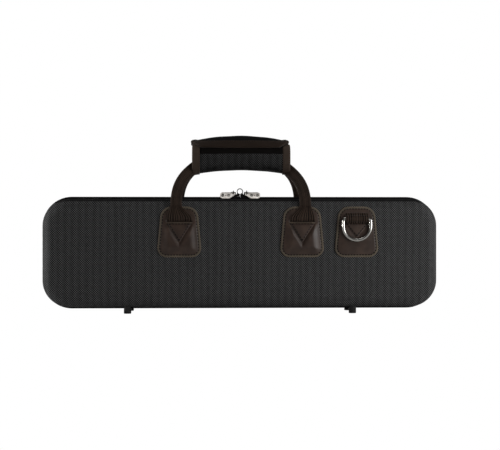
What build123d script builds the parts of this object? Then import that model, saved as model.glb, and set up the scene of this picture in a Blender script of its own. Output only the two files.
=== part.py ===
from build123d import *
import os
from math import asin, cos, degrees, radians, sin, sqrt

# A zipped flute case standing on its spine: millimetres, +Z up, the lid side towards -Y.
# The origin is on the ground, under the middle of the case.

# ---- Case shells ----
CASE_LENGTH = 414.4          # over the fabric cover, along X
CASE_HEIGHT = 113.4          # over the fabric cover, along Z
CASE_DEPTH = 76.0            # face to face, along Y
CORNER_RADIUS = 28.2         # outline corners
EDGE_RADIUS = 12.0           # round between a face and the sides
RIM_GAP = 8.4                # between the two shell rims, where the zip runs
COVER_THICKNESS = 1.2
CORE_THICKNESS = 4.0
LINING_THICKNESS = 1.5

# ---- Rim: piping, zip and spine tape ----
PIPING_HEIGHT = 2.8          # how far the piping stands off the shell
PIPING_WIDTH = 3.2
PIPING_ROUND = 1.3
TAPE_THICKNESS = 0.6
TAPE_LIFT = 0.2              # tape above the shell surface
COIL_GAP = 1.6               # between the two rows of the coil
COIL_WIDTH = 1.6
COIL_HEIGHT = 1.2
ZIP_END_HEIGHT = 10.0        # above the ground, where the zip stops on each lower corner
ZIP_END_GAP = 0.3
SPINE_TAPE_THICKNESS = 1.0
SPINE_TAPE_LIFT = 0.4

# ---- Feet ----
FOOT_DIAMETER = 7.8
FOOT_STAND = 4.5             # below the piping
FOOT_ROUND = 0.6
FOOT_X = 119.0
FOOT_Y = 20.0
SCREW_DIAMETER = 2.2
SCREW_HEAD_DIAMETER = 4.4
SCREW_HEAD_HEIGHT = 1.4
SCREW_HEAD_DEPTH = 0.6       # head below the foot's sole
SCREW_HEAD_CLEARANCE = 0.1
SCREW_END_COVER = 0.2        # core left over the screw's tip

# ---- Flute tray and lid pad ----
TRAY_TOP_Y = 1.0             # tray surface, behind the parting plane
CHANNEL_FLOOR = 4.0          # foam left under the deepest channel
BODY_CHANNEL_LENGTH = 360.0
BODY_CHANNEL_WIDTH = 32.0
HEAD_CHANNEL_LENGTH = 225.0
HEAD_CHANNEL_WIDTH = 28.0
FOOT_CHANNEL_LENGTH = 120.0
CHANNEL_WALL = 15.0
CHANNEL_ROUND = 4.5          # lower corners of each channel
PAD_FACE_Y = 12.0            # lid pad surface, in front of the parting plane

# ---- Leather patches ----
PATCH_TOP_WIDTH = 37.5
PATCH_BOTTOM_WIDTH = 47.5
PATCH_HEIGHT = 53.0
PATCH_TOP_ROUND = 12.0
PATCH_BOTTOM_ROUND = 10.0
PATCH_THICKNESS = 2.0
PATCH_DROP = 34.5            # patch's middle below the top of the case
HANDLE_PATCH_X = 64.0
RING_PATCH_X = 121.0
SLOT_HEIGHT = 2.6
SLOT_RISE = 11.4             # slot above the patch's middle
TRIANGLE_RELIEF = 1.0        # stitched triangle standing off the patch
TRIANGLE_TAPER = 35.0        # degrees, slope of its sides
TRIANGLE_TOP_WIDTH = 24.0
TRIANGLE_DROP = 2.6          # triangle below the slot's middle
HANDLE_TRIANGLE_HEIGHT = 19.3
RING_TRIANGLE_HEIGHT = 14.4

# ---- Webbing and handle straps ----
WEBBING_WIDTH = 26.0
WEBBING_THICKNESS = 2.0
SLOT_CLEARANCE = 0.3
STRAP_WIDTH = 12.0           # webbing folded lengthwise
STRAP_THICKNESS = 4.5
ROOT_RISE = 16.2             # webbing root above the slot, up to the fold line
ROOT_TAPER_START = 3.4
FOLD_GAP = 0.3
STRAP_PAIR_GAP = 1.5         # between the two straps inside the grip
STRAP_LEAN = 3.3             # neck further out than the middle of its patch

# ---- Grip ----
GRIP_LENGTH = 107.0
GRIP_LIFT = 50.1             # middle of the grip above the top of the case
GRIP_ARCH = 5.4              # ends lower than the middle
WRAP_WIDTH = 27.0
WRAP_TOP = 14.6              # wrap above the grip's middle
WRAP_BOTTOM = 18.0
WRAP_ROUND = 12.0
WRAP_WALL = 3.5
PANEL_TOP = 9.0              # front panel's upper edge above the grip's middle
FLAP_THICKNESS = 3.0
FLAP_GAP = 0.3
FLAP_EDGE = 3.8              # flap's lower edge above the grip's middle
FLAP_HINGE_Y = 9.0
BINDING_THICKNESS = 0.8
BINDING_WIDTH = 7.0
REAR_BINDING_Y = 11.5
STRIP_THICKNESS = 0.6
STRIP_TOP = 8.5
STRIP_BOTTOM = 4.4
STRIP_LENGTH = 80.0
STRAP_WINDOW = 0.4           # clearance round the straps in the grip
GRIP_STRAP_DROP = 2.6        # strap below the grip's middle
ENTRY_DROP = 11.2            # strap below the grip's middle line where it enters
ENTRY_INSET = 3.5
ENTRY_Y = 6.0
ENTRY_ACROSS = 1.2           # slope of the strap where it enters, for each unit it rises
ENTRY_BACK = 0.4
NECK_PULL = 20.0             # how long the strap keeps its direction from the neck
ENTRY_PULL = 15.0
MIDDLE_PULL = 18.0

# ---- D-rings ----
RING_WIRE = 3.6
RING_INNER_WIDTH = 25.0
RING_STRAIGHT = 8.0
RING_CORNER = 3.0
RING_BAR_RISE = 13.8         # bar above the patch's middle
RING_STANDOFF = 0.6          # wire off the patch
LOOP_CLEARANCE = 0.3
LOOP_THICKNESS = 1.6
LOOP_WIDTH = 24.0

# ---- Zip sliders and pulls ----
SLIDER_NOSE_X = 1.0
SLIDER_LENGTH = 11.5
SLIDER_WIDTH = 7.6
SLIDER_ROUND = 2.0
SLIDER_PLATE = 1.3
SLIDER_CLEARANCE = 0.3
POST_WIDTH = 0.9
POST_LENGTH = 2.0
BRIDGE_LENGTH = 6.0
BRIDGE_WIDTH = 1.2
BRIDGE_RISE = 4.7            # bridge top above the slider's plate
BRIDGE_BAR = 1.2
BRIDGE_MID_X = 7.2
EYELET_RADIUS = 3.4
EYELET_BORE = 2.5
EYELET_THICKNESS = 0.9
EYELET_RISE = 5.1            # eyelet centre above the slider's plate
EYELET_OFFSET = 0.75
LUG_WIDTH = 1.9
LINK_WIRE = 1.0
LINK_RADIUS = 1.7
LINK_LENGTH = 5.0
LINK_DIP = 8.0               # degrees below level
TAB_THICKNESS = 1.2
TAB_LENGTH = 12.0
TAB_WIDTH = 8.4
TAB_ROUND = 3.2
TAB_TILT = 52.0              # degrees from level
TAB_EYE_HOLE = 2.2
TAB_EYE_RIM = 1.1
TAB_REACH = 8.2              # tab's middle outward of its eye
TAB_WINDOW_WIDTH = 3.4
TAB_WINDOW_HEIGHT = 4.4
TAB_WINDOW_SPACING = 6.2
TAB_HOLE = 1.5

# ---- Worked out ----
CASE_BOTTOM = FOOT_STAND + PIPING_HEIGHT
CASE_TOP = CASE_BOTTOM + CASE_HEIGHT
CASE_MID = CASE_BOTTOM + CASE_HEIGHT / 2
FACE_Y = CASE_DEPTH / 2
RIM_Y = RIM_GAP / 2
CORE_INSET = COVER_THICKNESS
LINING_INSET = CORE_INSET + CORE_THICKNESS
INSIDE_INSET = LINING_INSET + LINING_THICKNESS
COIL_Y = COIL_GAP / 2
TAPE_TOP = TAPE_LIFT + TAPE_THICKNESS
COIL_TOP = TAPE_TOP + COIL_HEIGHT
PATCH_Y = FACE_Y + PATCH_THICKNESS
PATCH_MID_HEIGHT = CASE_TOP - PATCH_DROP
SLOT_Z = PATCH_MID_HEIGHT + SLOT_RISE
ROOT_Y = PATCH_Y + WEBBING_THICKNESS
NECK_X = HANDLE_PATCH_X + STRAP_LEAN
NECK_Z = SLOT_Z + ROOT_RISE
STRAP_Y = (STRAP_PAIR_GAP + STRAP_THICKNESS) / 2
GRIP_MID_HEIGHT = CASE_TOP + GRIP_LIFT
ARCH_RADIUS = ((GRIP_LENGTH / 2) ** 2 + GRIP_ARCH ** 2) / (2 * GRIP_ARCH)
ARCH_CENTRE_Z = GRIP_MID_HEIGHT - ARCH_RADIUS
RING_BAR_Z = PATCH_MID_HEIGHT + RING_BAR_RISE
RING_BAR_Y = PATCH_Y + RING_STANDOFF + RING_WIRE / 2
PLATE_TOP_Z = CASE_TOP + COIL_TOP + SLIDER_CLEARANCE + SLIDER_PLATE
BRIDGE_BAR_Z = PLATE_TOP_Z + BRIDGE_RISE - BRIDGE_BAR / 2
FAR = 1000.0                 # size of the blocks that trim other solids
UPRIGHT = (Align.CENTER, Align.CENTER, Align.MIN)
STRAP_STEPS = 7              # sections along each piece of the strap's line


# ---- Helpers ----
def front_plane(x, y, z):
    """Plane facing the viewer at distance y in front of the parting plane, with local Y upward."""
    return Plane(origin=(x, -y, z), x_dir=(1, 0, 0), z_dir=(0, -1, 0))


def turned(shape):
    """The same piece on the rear side: the front layout turned half round about Z."""
    return shape.rotate(Axis.Z, 180)


def block(x_from, x_to, y_from, y_to, z_from, z_to):
    """Box between two corners."""
    size = (x_to - x_from, y_to - y_from, z_to - z_from)
    middle = ((x_from + x_to) / 2, (y_from + y_to) / 2, (z_from + z_to) / 2)
    return Pos(*middle) * Box(*size)


def save(shape, name):
    """Write one node's STEP file."""
    export_step(shape, f"parts/{name}.step")


# ---- Shells ----
def case_outline(offset):
    """Rounded outline of the case, moved out by offset."""
    radius = CORNER_RADIUS + offset
    return RectangleRounded(CASE_LENGTH + 2 * offset, CASE_HEIGHT + 2 * offset, radius)


def shell_block(inset, start_y):
    """Solid front half from start_y to the face, with each side moved in by inset."""
    face_y = FACE_Y - inset
    body = extrude(front_plane(0, start_y, CASE_MID) * case_outline(-inset), face_y - start_y)
    face_edges = body.faces().sort_by(Axis.Y)[0].outer_wire().edges()
    return fillet(face_edges, EDGE_RADIUS - inset)


def screw_holes():
    """Shanks of the two foot screws of the front half, up into the core."""
    top = CASE_BOTTOM + LINING_INSET - SCREW_END_COVER
    bottom = SCREW_HEAD_DEPTH + SCREW_HEAD_HEIGHT
    shank = Cylinder(SCREW_DIAMETER / 2, top - bottom, align=UPRIGHT)
    return [Pos(x, -FOOT_Y, bottom) * shank for x in (-FOOT_X, FOOT_X)]


def shell_cover():
    """Fabric skin over the outside of the shell."""
    return shell_block(0, RIM_Y) - shell_block(CORE_INSET, RIM_Y) - screw_holes()


def shell_core():
    """Stiff moulded shell."""
    return shell_block(CORE_INSET, RIM_Y) - shell_block(LINING_INSET, RIM_Y) - screw_holes()


def shell_lining():
    """Plush lining inside the core."""
    return shell_block(LINING_INSET, RIM_Y) - shell_block(INSIDE_INSET, RIM_Y)


def rim_ring(y_from, y_to, low, high):
    """Band round the outline between two depths and two heights off the shell."""
    plane = front_plane(0, y_from, CASE_MID)
    return extrude(plane * (case_outline(high) - case_outline(low)), y_to - y_from)


def rim_piping():
    """Piping sewn round the rim of one shell."""
    ring = rim_ring(RIM_Y, RIM_Y + PIPING_WIDTH, 0, PIPING_HEIGHT)
    ends = ring.faces().filter_by(Axis.Y).sort_by(Axis.Y)
    edges = ends[0].outer_wire().edges() + ends[-1].outer_wire().edges()
    return fillet(edges, PIPING_ROUND)


def below_zip_end(height):
    """Everything lower than the given height."""
    return block(-FAR, FAR, -FAR, FAR, -FAR, height)


def zip_tape():
    """Tape of one half of the zip, from one lower corner over the top to the other."""
    return rim_ring(COIL_Y, RIM_Y, TAPE_LIFT, TAPE_TOP) - below_zip_end(ZIP_END_HEIGHT)


def zip_coil():
    """Coil of one half of the zip, on its tape."""
    return rim_ring(COIL_Y, COIL_Y + COIL_WIDTH, TAPE_TOP, COIL_TOP) - below_zip_end(ZIP_END_HEIGHT)


def spine_tape():
    """Fabric hinge along the bottom, between the two runs of piping."""
    top = SPINE_TAPE_LIFT + SPINE_TAPE_THICKNESS
    return rim_ring(-RIM_Y, RIM_Y, SPINE_TAPE_LIFT, top) & below_zip_end(ZIP_END_HEIGHT - ZIP_END_GAP)


# ---- Feet ----
def foot():
    """One glide foot, standing at the origin, open below for its screw."""
    post = Cylinder(FOOT_DIAMETER / 2, CASE_BOTTOM, align=UPRIGHT)
    post = fillet(post.edges().sort_by(Axis.Z)[0], FOOT_ROUND)
    recess_depth = SCREW_HEAD_DEPTH + SCREW_HEAD_HEIGHT
    recess_radius = SCREW_HEAD_DIAMETER / 2 + SCREW_HEAD_CLEARANCE
    return post - Cylinder(recess_radius, recess_depth, align=UPRIGHT) - Cylinder(SCREW_DIAMETER / 2, FAR)


def front_feet():
    """The two feet of the front half."""
    return Compound(children=[Pos(x, -FOOT_Y, 0) * foot() for x in (-FOOT_X, FOOT_X)])


def front_foot_screws():
    """The two screws that hold the front feet."""
    head = Cylinder(SCREW_HEAD_DIAMETER / 2, SCREW_HEAD_HEIGHT, align=UPRIGHT)
    heads = [Pos(x, -FOOT_Y, SCREW_HEAD_DEPTH) * head for x in (-FOOT_X, FOOT_X)]
    return Compound(children=[top + shank for top, shank in zip(heads, screw_holes())])


# ---- Inside ----
def channel(x_from, length, width, z):
    """Channel in the tray, open at the parting plane, with rounded lower corners."""
    floor_y = FACE_Y - INSIDE_INSET - CHANNEL_FLOOR
    trough = block(x_from, x_from + length, -TRAY_TOP_Y, floor_y, z - width / 2, z + width / 2)
    floor = trough.faces().sort_by(Axis.Y)[-1]
    return fillet(floor.edges().filter_by(Axis.X), CHANNEL_ROUND)


def channel_heights():
    """Middle heights of the lower and the upper channels, evenly spaced in the case."""
    inside = CASE_HEIGHT - 2 * INSIDE_INSET
    wall = (inside - BODY_CHANNEL_WIDTH - HEAD_CHANNEL_WIDTH) / 3
    bottom = CASE_BOTTOM + INSIDE_INSET
    lower = bottom + wall + BODY_CHANNEL_WIDTH / 2
    upper = bottom + 2 * wall + BODY_CHANNEL_WIDTH + HEAD_CHANNEL_WIDTH / 2
    return lower, upper


def flute_tray():
    """Plush-covered foam tray with channels for the flute's body, head and foot joints."""
    lower, upper = channel_heights()
    tray = turned(shell_block(INSIDE_INSET, TRAY_TOP_Y))
    row_start = -(HEAD_CHANNEL_LENGTH + CHANNEL_WALL + FOOT_CHANNEL_LENGTH) / 2
    foot_start = row_start + HEAD_CHANNEL_LENGTH + CHANNEL_WALL
    tray -= channel(-BODY_CHANNEL_LENGTH / 2, BODY_CHANNEL_LENGTH, BODY_CHANNEL_WIDTH, lower)
    tray -= channel(row_start, HEAD_CHANNEL_LENGTH, HEAD_CHANNEL_WIDTH, upper)
    tray -= channel(foot_start, FOOT_CHANNEL_LENGTH, HEAD_CHANNEL_WIDTH, upper)
    return tray


def lid_pad():
    """Foam pad in the lid, over the instrument."""
    return shell_block(INSIDE_INSET, PAD_FACE_Y)


# ---- Leather patches ----
def patch_outline():
    """Patch outline about its middle: narrower at the top, with rounded corners."""
    half_top = PATCH_TOP_WIDTH / 2
    half_bottom = PATCH_BOTTOM_WIDTH / 2
    half_height = PATCH_HEIGHT / 2
    corners = [(-half_bottom, -half_height), (half_bottom, -half_height)]
    corners += [(half_top, half_height), (-half_top, half_height)]
    outline = Polygon(*corners, align=None)
    outline = fillet(outline.vertices().group_by(Axis.Y)[-1], PATCH_TOP_ROUND)
    return fillet(outline.vertices().group_by(Axis.Y)[0], PATCH_BOTTOM_ROUND)


def patch(x, triangle_height):
    """Leather patch on the front face, with a webbing slot and a stitched triangle below it."""
    plate = extrude(front_plane(x, FACE_Y, PATCH_MID_HEIGHT) * patch_outline(), PATCH_THICKNESS)
    slot = Rectangle(WEBBING_WIDTH + 2 * SLOT_CLEARANCE, SLOT_HEIGHT)
    plate -= extrude(front_plane(x, FACE_Y, SLOT_Z) * slot, PATCH_THICKNESS)
    top = SLOT_Z - TRIANGLE_DROP
    corners = [(-TRIANGLE_TOP_WIDTH / 2, 0), (0, -triangle_height), (TRIANGLE_TOP_WIDTH / 2, 0)]
    triangle = front_plane(x, PATCH_Y, top) * Polygon(*corners, align=None)
    return plate + extrude(triangle, TRIANGLE_RELIEF, taper=TRIANGLE_TAPER)


def webbing_root(side):
    """Webbing from the slot of a handle patch up to the fold line, gathered to the strap's width."""
    x = side * HANDLE_PATCH_X
    lean = side * STRAP_LEAN
    start = -(SLOT_HEIGHT / 2 - SLOT_CLEARANCE / 2)
    half_web = WEBBING_WIDTH / 2
    half_strap = STRAP_WIDTH / 2
    corners = [(-half_web, start), (half_web, start), (half_web, ROOT_TAPER_START)]
    corners += [(lean + half_strap, ROOT_RISE), (lean - half_strap, ROOT_RISE), (-half_web, ROOT_TAPER_START)]
    sheet = extrude(front_plane(x, PATCH_Y, SLOT_Z) * Polygon(*corners, align=None), WEBBING_THICKNESS)
    tongue = Rectangle(WEBBING_WIDTH, SLOT_HEIGHT - SLOT_CLEARANCE)
    return sheet + extrude(front_plane(x, FACE_Y, SLOT_Z) * tongue, PATCH_THICKNESS)


def ring_loop():
    """Webbing loop that holds the D-ring's bar against its patch."""
    plane = Plane(origin=(RING_PATCH_X, 0, RING_BAR_Z), x_dir=(0, -1, 0), z_dir=(-1, 0, 0))
    bore = RING_WIRE / 2 + LOOP_CLEARANCE
    outer = bore + LOOP_THICKNESS
    foot_rise = outer + LOOP_THICKNESS / 2
    corners = [(PATCH_Y, foot_rise), (RING_BAR_Y, outer), (RING_BAR_Y, -outer), (PATCH_Y, -foot_rise)]
    profile = Polygon(*corners, align=None) + Pos(RING_BAR_Y, 0) * Circle(outer)
    profile -= Pos(RING_BAR_Y, 0) * Circle(bore)
    profile -= Pos(PATCH_Y - FAR / 2, 0) * Rectangle(FAR, FAR)
    return extrude(plane * profile, LOOP_WIDTH / 2, both=True)


def d_ring():
    """D-ring hanging from its straight bar."""
    plane = front_plane(RING_PATCH_X, RING_BAR_Y, RING_BAR_Z)
    half = (RING_INNER_WIDTH + RING_WIRE) / 2
    bar = FilletPolyline((0, 0), (half, 0), (half, -RING_STRAIGHT), radius=RING_CORNER)
    bow = CenterArc((0, -RING_STRAIGHT), half, 0, -90)
    path = plane * (bar + bow)
    section = Plane(origin=plane.origin, x_dir=(0, 1, 0), z_dir=(1, 0, 0)) * Circle(RING_WIRE / 2)
    half_ring = sweep(section, path=path)
    return half_ring + half_ring.mirror(Plane.YZ.offset(RING_PATCH_X))


# ---- Handle straps ----
def strap_lines():
    """Middle line of one half of the front strap: from its fold to the grip, and on to the grip's middle."""
    grip_end_z = GRIP_MID_HEIGHT - GRIP_ARCH
    neck = Vector(NECK_X, -(ROOT_Y - STRAP_THICKNESS / 2), NECK_Z + FOLD_GAP)
    entry = Vector(GRIP_LENGTH / 2 - ENTRY_INSET, -ENTRY_Y, grip_end_z - ENTRY_DROP)
    middle = Vector(0, -STRAP_Y, GRIP_MID_HEIGHT - GRIP_STRAP_DROP)
    heading = Vector(-ENTRY_ACROSS, ENTRY_BACK, 1).normalized()
    rise = neck + Vector(0, 0, NECK_PULL)
    outside = Bezier(neck, rise, entry - heading * ENTRY_PULL, entry)
    inside = Bezier(entry, entry + heading * ENTRY_PULL, middle + Vector(MIDDLE_PULL, 0, 0), middle)
    return outside, inside


def strap_section(line, share, extra):
    """Strap section square to its line, part of the way along it."""
    along = line.tangent_at(share)
    across = along.cross(Vector(0, 1, 0))
    plane = Plane(origin=line.position_at(share), x_dir=across, z_dir=along)
    return plane * Rectangle(STRAP_WIDTH + 2 * extra, STRAP_THICKNESS + 2 * extra)


def strap_body(extra):
    """Front strap from fold to fold, made thicker and wider by extra on every side."""
    outside, inside = strap_lines()
    sections = [strap_section(outside, step / STRAP_STEPS, extra) for step in range(STRAP_STEPS)]
    sections += [strap_section(inside, step / STRAP_STEPS, extra) for step in range(STRAP_STEPS + 1)]
    half = loft(sections)
    return half + half.mirror(Plane.YZ)


# ---- Grip ----
def wrap_profile(offset):
    """Section of the rolled wrap at the middle of the grip, moved out by offset."""
    middle_z = GRIP_MID_HEIGHT + (WRAP_TOP - WRAP_BOTTOM) / 2
    height = WRAP_TOP + WRAP_BOTTOM
    rounded = RectangleRounded(WRAP_WIDTH + 2 * offset, height + 2 * offset, WRAP_ROUND + offset)
    return Plane(origin=(0, 0, middle_z), x_dir=(0, 1, 0), z_dir=(1, 0, 0)) * rounded


def profile_window(y_from, y_to, z_from, z_to):
    """Flat window in the section plane, with heights from the grip's middle."""
    window = Rectangle(y_to - y_from, z_to - z_from)
    centre = (0, (y_from + y_to) / 2, GRIP_MID_HEIGHT + (z_from + z_to) / 2)
    return Plane(origin=centre, x_dir=(0, 1, 0), z_dir=(1, 0, 0)) * window


def arched(profile, length_from, length_to):
    """Sweep a section along the grip's arch between two distances from the middle."""
    axis = Axis((0, 0, ARCH_CENTRE_Z), (0, 1, 0))
    start = degrees(asin(length_from / ARCH_RADIUS))
    end = degrees(asin(length_to / ARCH_RADIUS))
    solid = revolve(profile.rotate(axis, start), axis, revolution_arc=end - start)
    return solid


def along_grip(profile):
    """Sweep a section along the whole grip."""
    return arched(profile, -GRIP_LENGTH / 2, GRIP_LENGTH / 2)


def at_both_ends(profile, width):
    """Sweep a section along the last stretch at each end of the grip."""
    half = GRIP_LENGTH / 2
    return [arched(profile, -half, width - half), arched(profile, half - width, half)]


def wrap_wall():
    """Section of the wrap's wall."""
    return wrap_profile(0) - wrap_profile(-WRAP_WALL)


def strip_window():
    """Part of the section that the closing strips lie in."""
    return profile_window(-FAR, 0, STRIP_BOTTOM, STRIP_TOP)


def grip_pad(straps):
    """Rear half of the padded wrap, behind both straps."""
    rear = wrap_wall() & profile_window(0, FAR, -FAR, FAR)
    return along_grip(rear) - straps


def panel_loop_strip():
    """Loop side of the closing strip, let into the front panel."""
    strip = (wrap_profile(0) - wrap_profile(-STRIP_THICKNESS)) & strip_window()
    return arched(strip, -STRIP_LENGTH / 2, STRIP_LENGTH / 2)


def grip_front_panel(straps):
    """Front half of the padded wrap, up to its edge under the flap."""
    front = wrap_wall() & profile_window(-FAR, 0, -FAR, PANEL_TOP)
    return along_grip(front) - straps - panel_loop_strip()


def panel_binding():
    """Woven binding along the upper front of the panel, just below the flap."""
    top = FLAP_EDGE - FLAP_GAP
    window = profile_window(-FAR, 0, top - BINDING_WIDTH, top)
    band = (wrap_profile(BINDING_THICKNESS) - wrap_profile(0)) & window
    inner = GRIP_LENGTH / 2 - BINDING_WIDTH
    return arched(band, -inner, inner)


def grip_end_bindings(straps):
    """Woven binding round each end of the wrap, outside the part that the flap covers."""
    ring = wrap_profile(BINDING_THICKNESS) - wrap_profile(0)
    covered = profile_window(-FAR, REAR_BINDING_Y, FLAP_EDGE - FLAP_GAP, FAR)
    return Compound(children=[band - straps for band in at_both_ends(ring - covered, BINDING_WIDTH)])


def flap_layer(low, high):
    """Section of a layer of the flap between two heights off the wrap."""
    window = profile_window(-FAR, FLAP_HINGE_Y, FLAP_EDGE, FAR)
    return (wrap_profile(high) - wrap_profile(low)) & window


def flap_hook_strip():
    """Hook side of the closing strip, let into the inside of the flap."""
    strip = flap_layer(FLAP_GAP, FLAP_GAP + STRIP_THICKNESS) & strip_window()
    return arched(strip, -STRIP_LENGTH / 2, STRIP_LENGTH / 2)


def grip_flap():
    """Padded flap over the top of the grip."""
    return along_grip(flap_layer(FLAP_GAP, FLAP_GAP + FLAP_THICKNESS)) - flap_hook_strip()


def flap_binding():
    """Woven binding along the flap's front edge and across its two ends."""
    low = FLAP_GAP + FLAP_THICKNESS
    layer = flap_layer(low, low + BINDING_THICKNESS)
    front = layer & profile_window(-FAR, 0, FLAP_EDGE, FLAP_EDGE + BINDING_WIDTH)
    band = along_grip(front)
    for end in at_both_ends(layer, BINDING_WIDTH):
        band += end
    return band


# ---- Zip sliders and pulls, drawn for the right-hand side ----
def slider_outline():
    """Plate outline of a slider, from its nose outward."""
    middle_x = SLIDER_NOSE_X + SLIDER_LENGTH / 2
    return Pos(middle_x, 0) * RectangleRounded(SLIDER_LENGTH, SLIDER_WIDTH, SLIDER_ROUND)


def slider_body(eyelet_y):
    """Slider with its two plates, post, bridge and lock eyelet."""
    upper_z = PLATE_TOP_Z - SLIDER_PLATE
    lower_z = CASE_TOP + TAPE_LIFT - SLIDER_CLEARANCE - SLIDER_PLATE
    upper = extrude(Plane.XY.offset(upper_z) * slider_outline(), SLIDER_PLATE)
    lower = extrude(Plane.XY.offset(lower_z) * slider_outline(), SLIDER_PLATE)
    post_x = SLIDER_NOSE_X + SLIDER_PLATE
    post = block(post_x, post_x + POST_LENGTH, -POST_WIDTH / 2, POST_WIDTH / 2, lower_z, PLATE_TOP_Z)
    return upper + lower + post + slider_bridge() + lock_eyelet(eyelet_y)


def slider_bridge():
    """Bridge on a slider, with the bar that the link hangs on."""
    half = BRIDGE_LENGTH / 2
    arch = Rectangle(BRIDGE_LENGTH, BRIDGE_RISE, align=(Align.CENTER, Align.MIN))
    arch = fillet(arch.vertices().group_by(Axis.Y)[-1], BRIDGE_BAR)
    opening_height = BRIDGE_RISE - BRIDGE_BAR
    arch -= Rectangle(2 * (half - BRIDGE_BAR), opening_height, align=(Align.CENTER, Align.MIN))
    return extrude(front_plane(BRIDGE_MID_X, 0, PLATE_TOP_Z) * arch, BRIDGE_WIDTH / 2, both=True)


def lock_eyelet(eyelet_y):
    """Eyelet for a padlock, standing over the parting plane of the two sliders, on its lug."""
    z = PLATE_TOP_Z + EYELET_RISE
    plane = front_plane(0, -eyelet_y, z)
    lug_x = EYELET_RADIUS - LUG_WIDTH / 2
    lug = Pos(lug_x, -EYELET_RISE) * Rectangle(LUG_WIDTH, EYELET_RISE / 2, align=(Align.CENTER, Align.MIN))
    lug += Pos(lug_x, -EYELET_RISE / 2) * Circle(LUG_WIDTH / 2)
    face = Circle(EYELET_RADIUS) + lug - Circle(EYELET_BORE)
    return extrude(plane * face, EYELET_THICKNESS / 2, both=True)


def link_end():
    """Where the link turns round the tab's eye, in front of the bridge."""
    reach = LINK_LENGTH * cos(radians(LINK_DIP))
    drop = LINK_LENGTH * sin(radians(LINK_DIP))
    return Vector(BRIDGE_MID_X, -reach, BRIDGE_BAR_Z - drop)


def pull_link():
    """Wire link from the bridge to the tab's eye."""
    angle = radians(LINK_DIP)
    plane = Plane(
        origin=(BRIDGE_MID_X, 0, BRIDGE_BAR_Z),
        x_dir=(0, -cos(angle), -sin(angle)),
        z_dir=(1, 0, 0),
    )
    start = Plane(origin=plane.from_local_coords((LINK_LENGTH / 2, LINK_RADIUS, 0)), z_dir=plane.x_dir)
    top = Line((LINK_LENGTH / 2, LINK_RADIUS), (LINK_LENGTH, LINK_RADIUS))
    bend = CenterArc((LINK_LENGTH, 0), LINK_RADIUS, 90, -180)
    under = Line((LINK_LENGTH, -LINK_RADIUS), (LINK_LENGTH / 2, -LINK_RADIUS))
    far_half = sweep(start * Circle(LINK_WIRE / 2), path=plane * (top + bend + under))
    middle = Plane(origin=plane.from_local_coords((LINK_LENGTH / 2, 0, 0)), z_dir=plane.x_dir)
    return far_half + far_half.mirror(middle)


def tab_plane():
    """Plane of the tab: local X outward, local Y up the tab, origin at the middle of its eye."""
    tilt = radians(TAB_TILT)
    up = Vector(0, cos(tilt), sin(tilt))
    web = (TAB_EYE_HOLE + TAB_EYE_RIM) / 2
    origin = link_end() - up * web
    return Plane(origin=origin, x_dir=(1, 0, 0), z_dir=Vector(1, 0, 0).cross(up))


def pull_tab():
    """Pull tab with its eye at the inner top corner and windows through it."""
    rim = TAB_EYE_HOLE / 2 + TAB_EYE_RIM
    middle = (TAB_REACH, rim - TAB_WIDTH / 2)
    plate = Pos(*middle) * RectangleRounded(TAB_LENGTH, TAB_WIDTH, TAB_ROUND)
    eye = Circle(rim)
    outline = make_hull(plate.edges() + eye.edges())
    for offset in (-TAB_WINDOW_SPACING / 2, TAB_WINDOW_SPACING / 2):
        outline -= Pos(middle[0] + offset, middle[1]) * Ellipse(TAB_WINDOW_WIDTH / 2, TAB_WINDOW_HEIGHT / 2)
    outline -= Pos(*middle) * Circle(TAB_HOLE / 2)
    outline -= Circle(TAB_EYE_HOLE / 2)
    return extrude(tab_plane() * outline, TAB_THICKNESS / 2, both=True)


def mirrored(shape):
    """The left-hand copy of a right-hand piece."""
    return shape.mirror(Plane.YZ)


# ---- Write every node ----
def write_shell_pieces():
    """Pieces that the two halves share, front first and turned for the rear."""
    pieces = {
        "shell_cover": shell_cover(),
        "shell_core": shell_core(),
        "lining": shell_lining(),
        "rim_piping": rim_piping(),
        "zip_tape": zip_tape(),
        "zip_coil": zip_coil(),
        "feet": front_feet(),
        "foot_screws": front_foot_screws(),
        "handle_patch_left": patch(-HANDLE_PATCH_X, HANDLE_TRIANGLE_HEIGHT),
        "handle_patch_right": patch(HANDLE_PATCH_X, HANDLE_TRIANGLE_HEIGHT),
        "webbing_root_left": webbing_root(-1),
        "webbing_root_right": webbing_root(1),
        "ring_patch": patch(RING_PATCH_X, RING_TRIANGLE_HEIGHT),
        "ring_loop": ring_loop(),
        "d_ring": d_ring(),
    }
    for name, piece in pieces.items():
        save(piece, f"front_{name}")
        save(turned(piece), f"rear_{name}")


def write_inside():
    """Tray, lid pad and spine tape."""
    save(flute_tray(), "flute_tray")
    save(lid_pad(), "lid_pad")
    save(spine_tape(), "spine_tape")


def write_handle():
    """Both straps and the grip round them."""
    front = strap_body(0)
    window = strap_body(STRAP_WINDOW)
    straps = [window, turned(window)]
    save(front, "front_strap")
    save(turned(front), "rear_strap")
    save(grip_pad(straps), "grip_pad")
    save(grip_front_panel(straps), "grip_front_panel")
    save(panel_loop_strip(), "panel_loop_strip")
    save(panel_binding(), "panel_binding")
    save(grip_end_bindings(straps), "grip_end_bindings")
    save(grip_flap(), "grip_flap")
    save(flap_hook_strip(), "flap_hook_strip")
    save(flap_binding(), "flap_binding")


def write_zip_sliders():
    """Sliders and pulls on both sides."""
    save(slider_body(-EYELET_OFFSET), "slider_right")
    save(mirrored(slider_body(EYELET_OFFSET)), "slider_left")
    save(pull_link(), "pull_link_right")
    save(mirrored(pull_link()), "pull_link_left")
    save(pull_tab(), "pull_tab_right")
    save(mirrored(pull_tab()), "pull_tab_left")


os.makedirs("parts", exist_ok=True)
write_shell_pieces()
write_inside()
write_handle()
write_zip_sliders()
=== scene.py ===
import math

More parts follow.
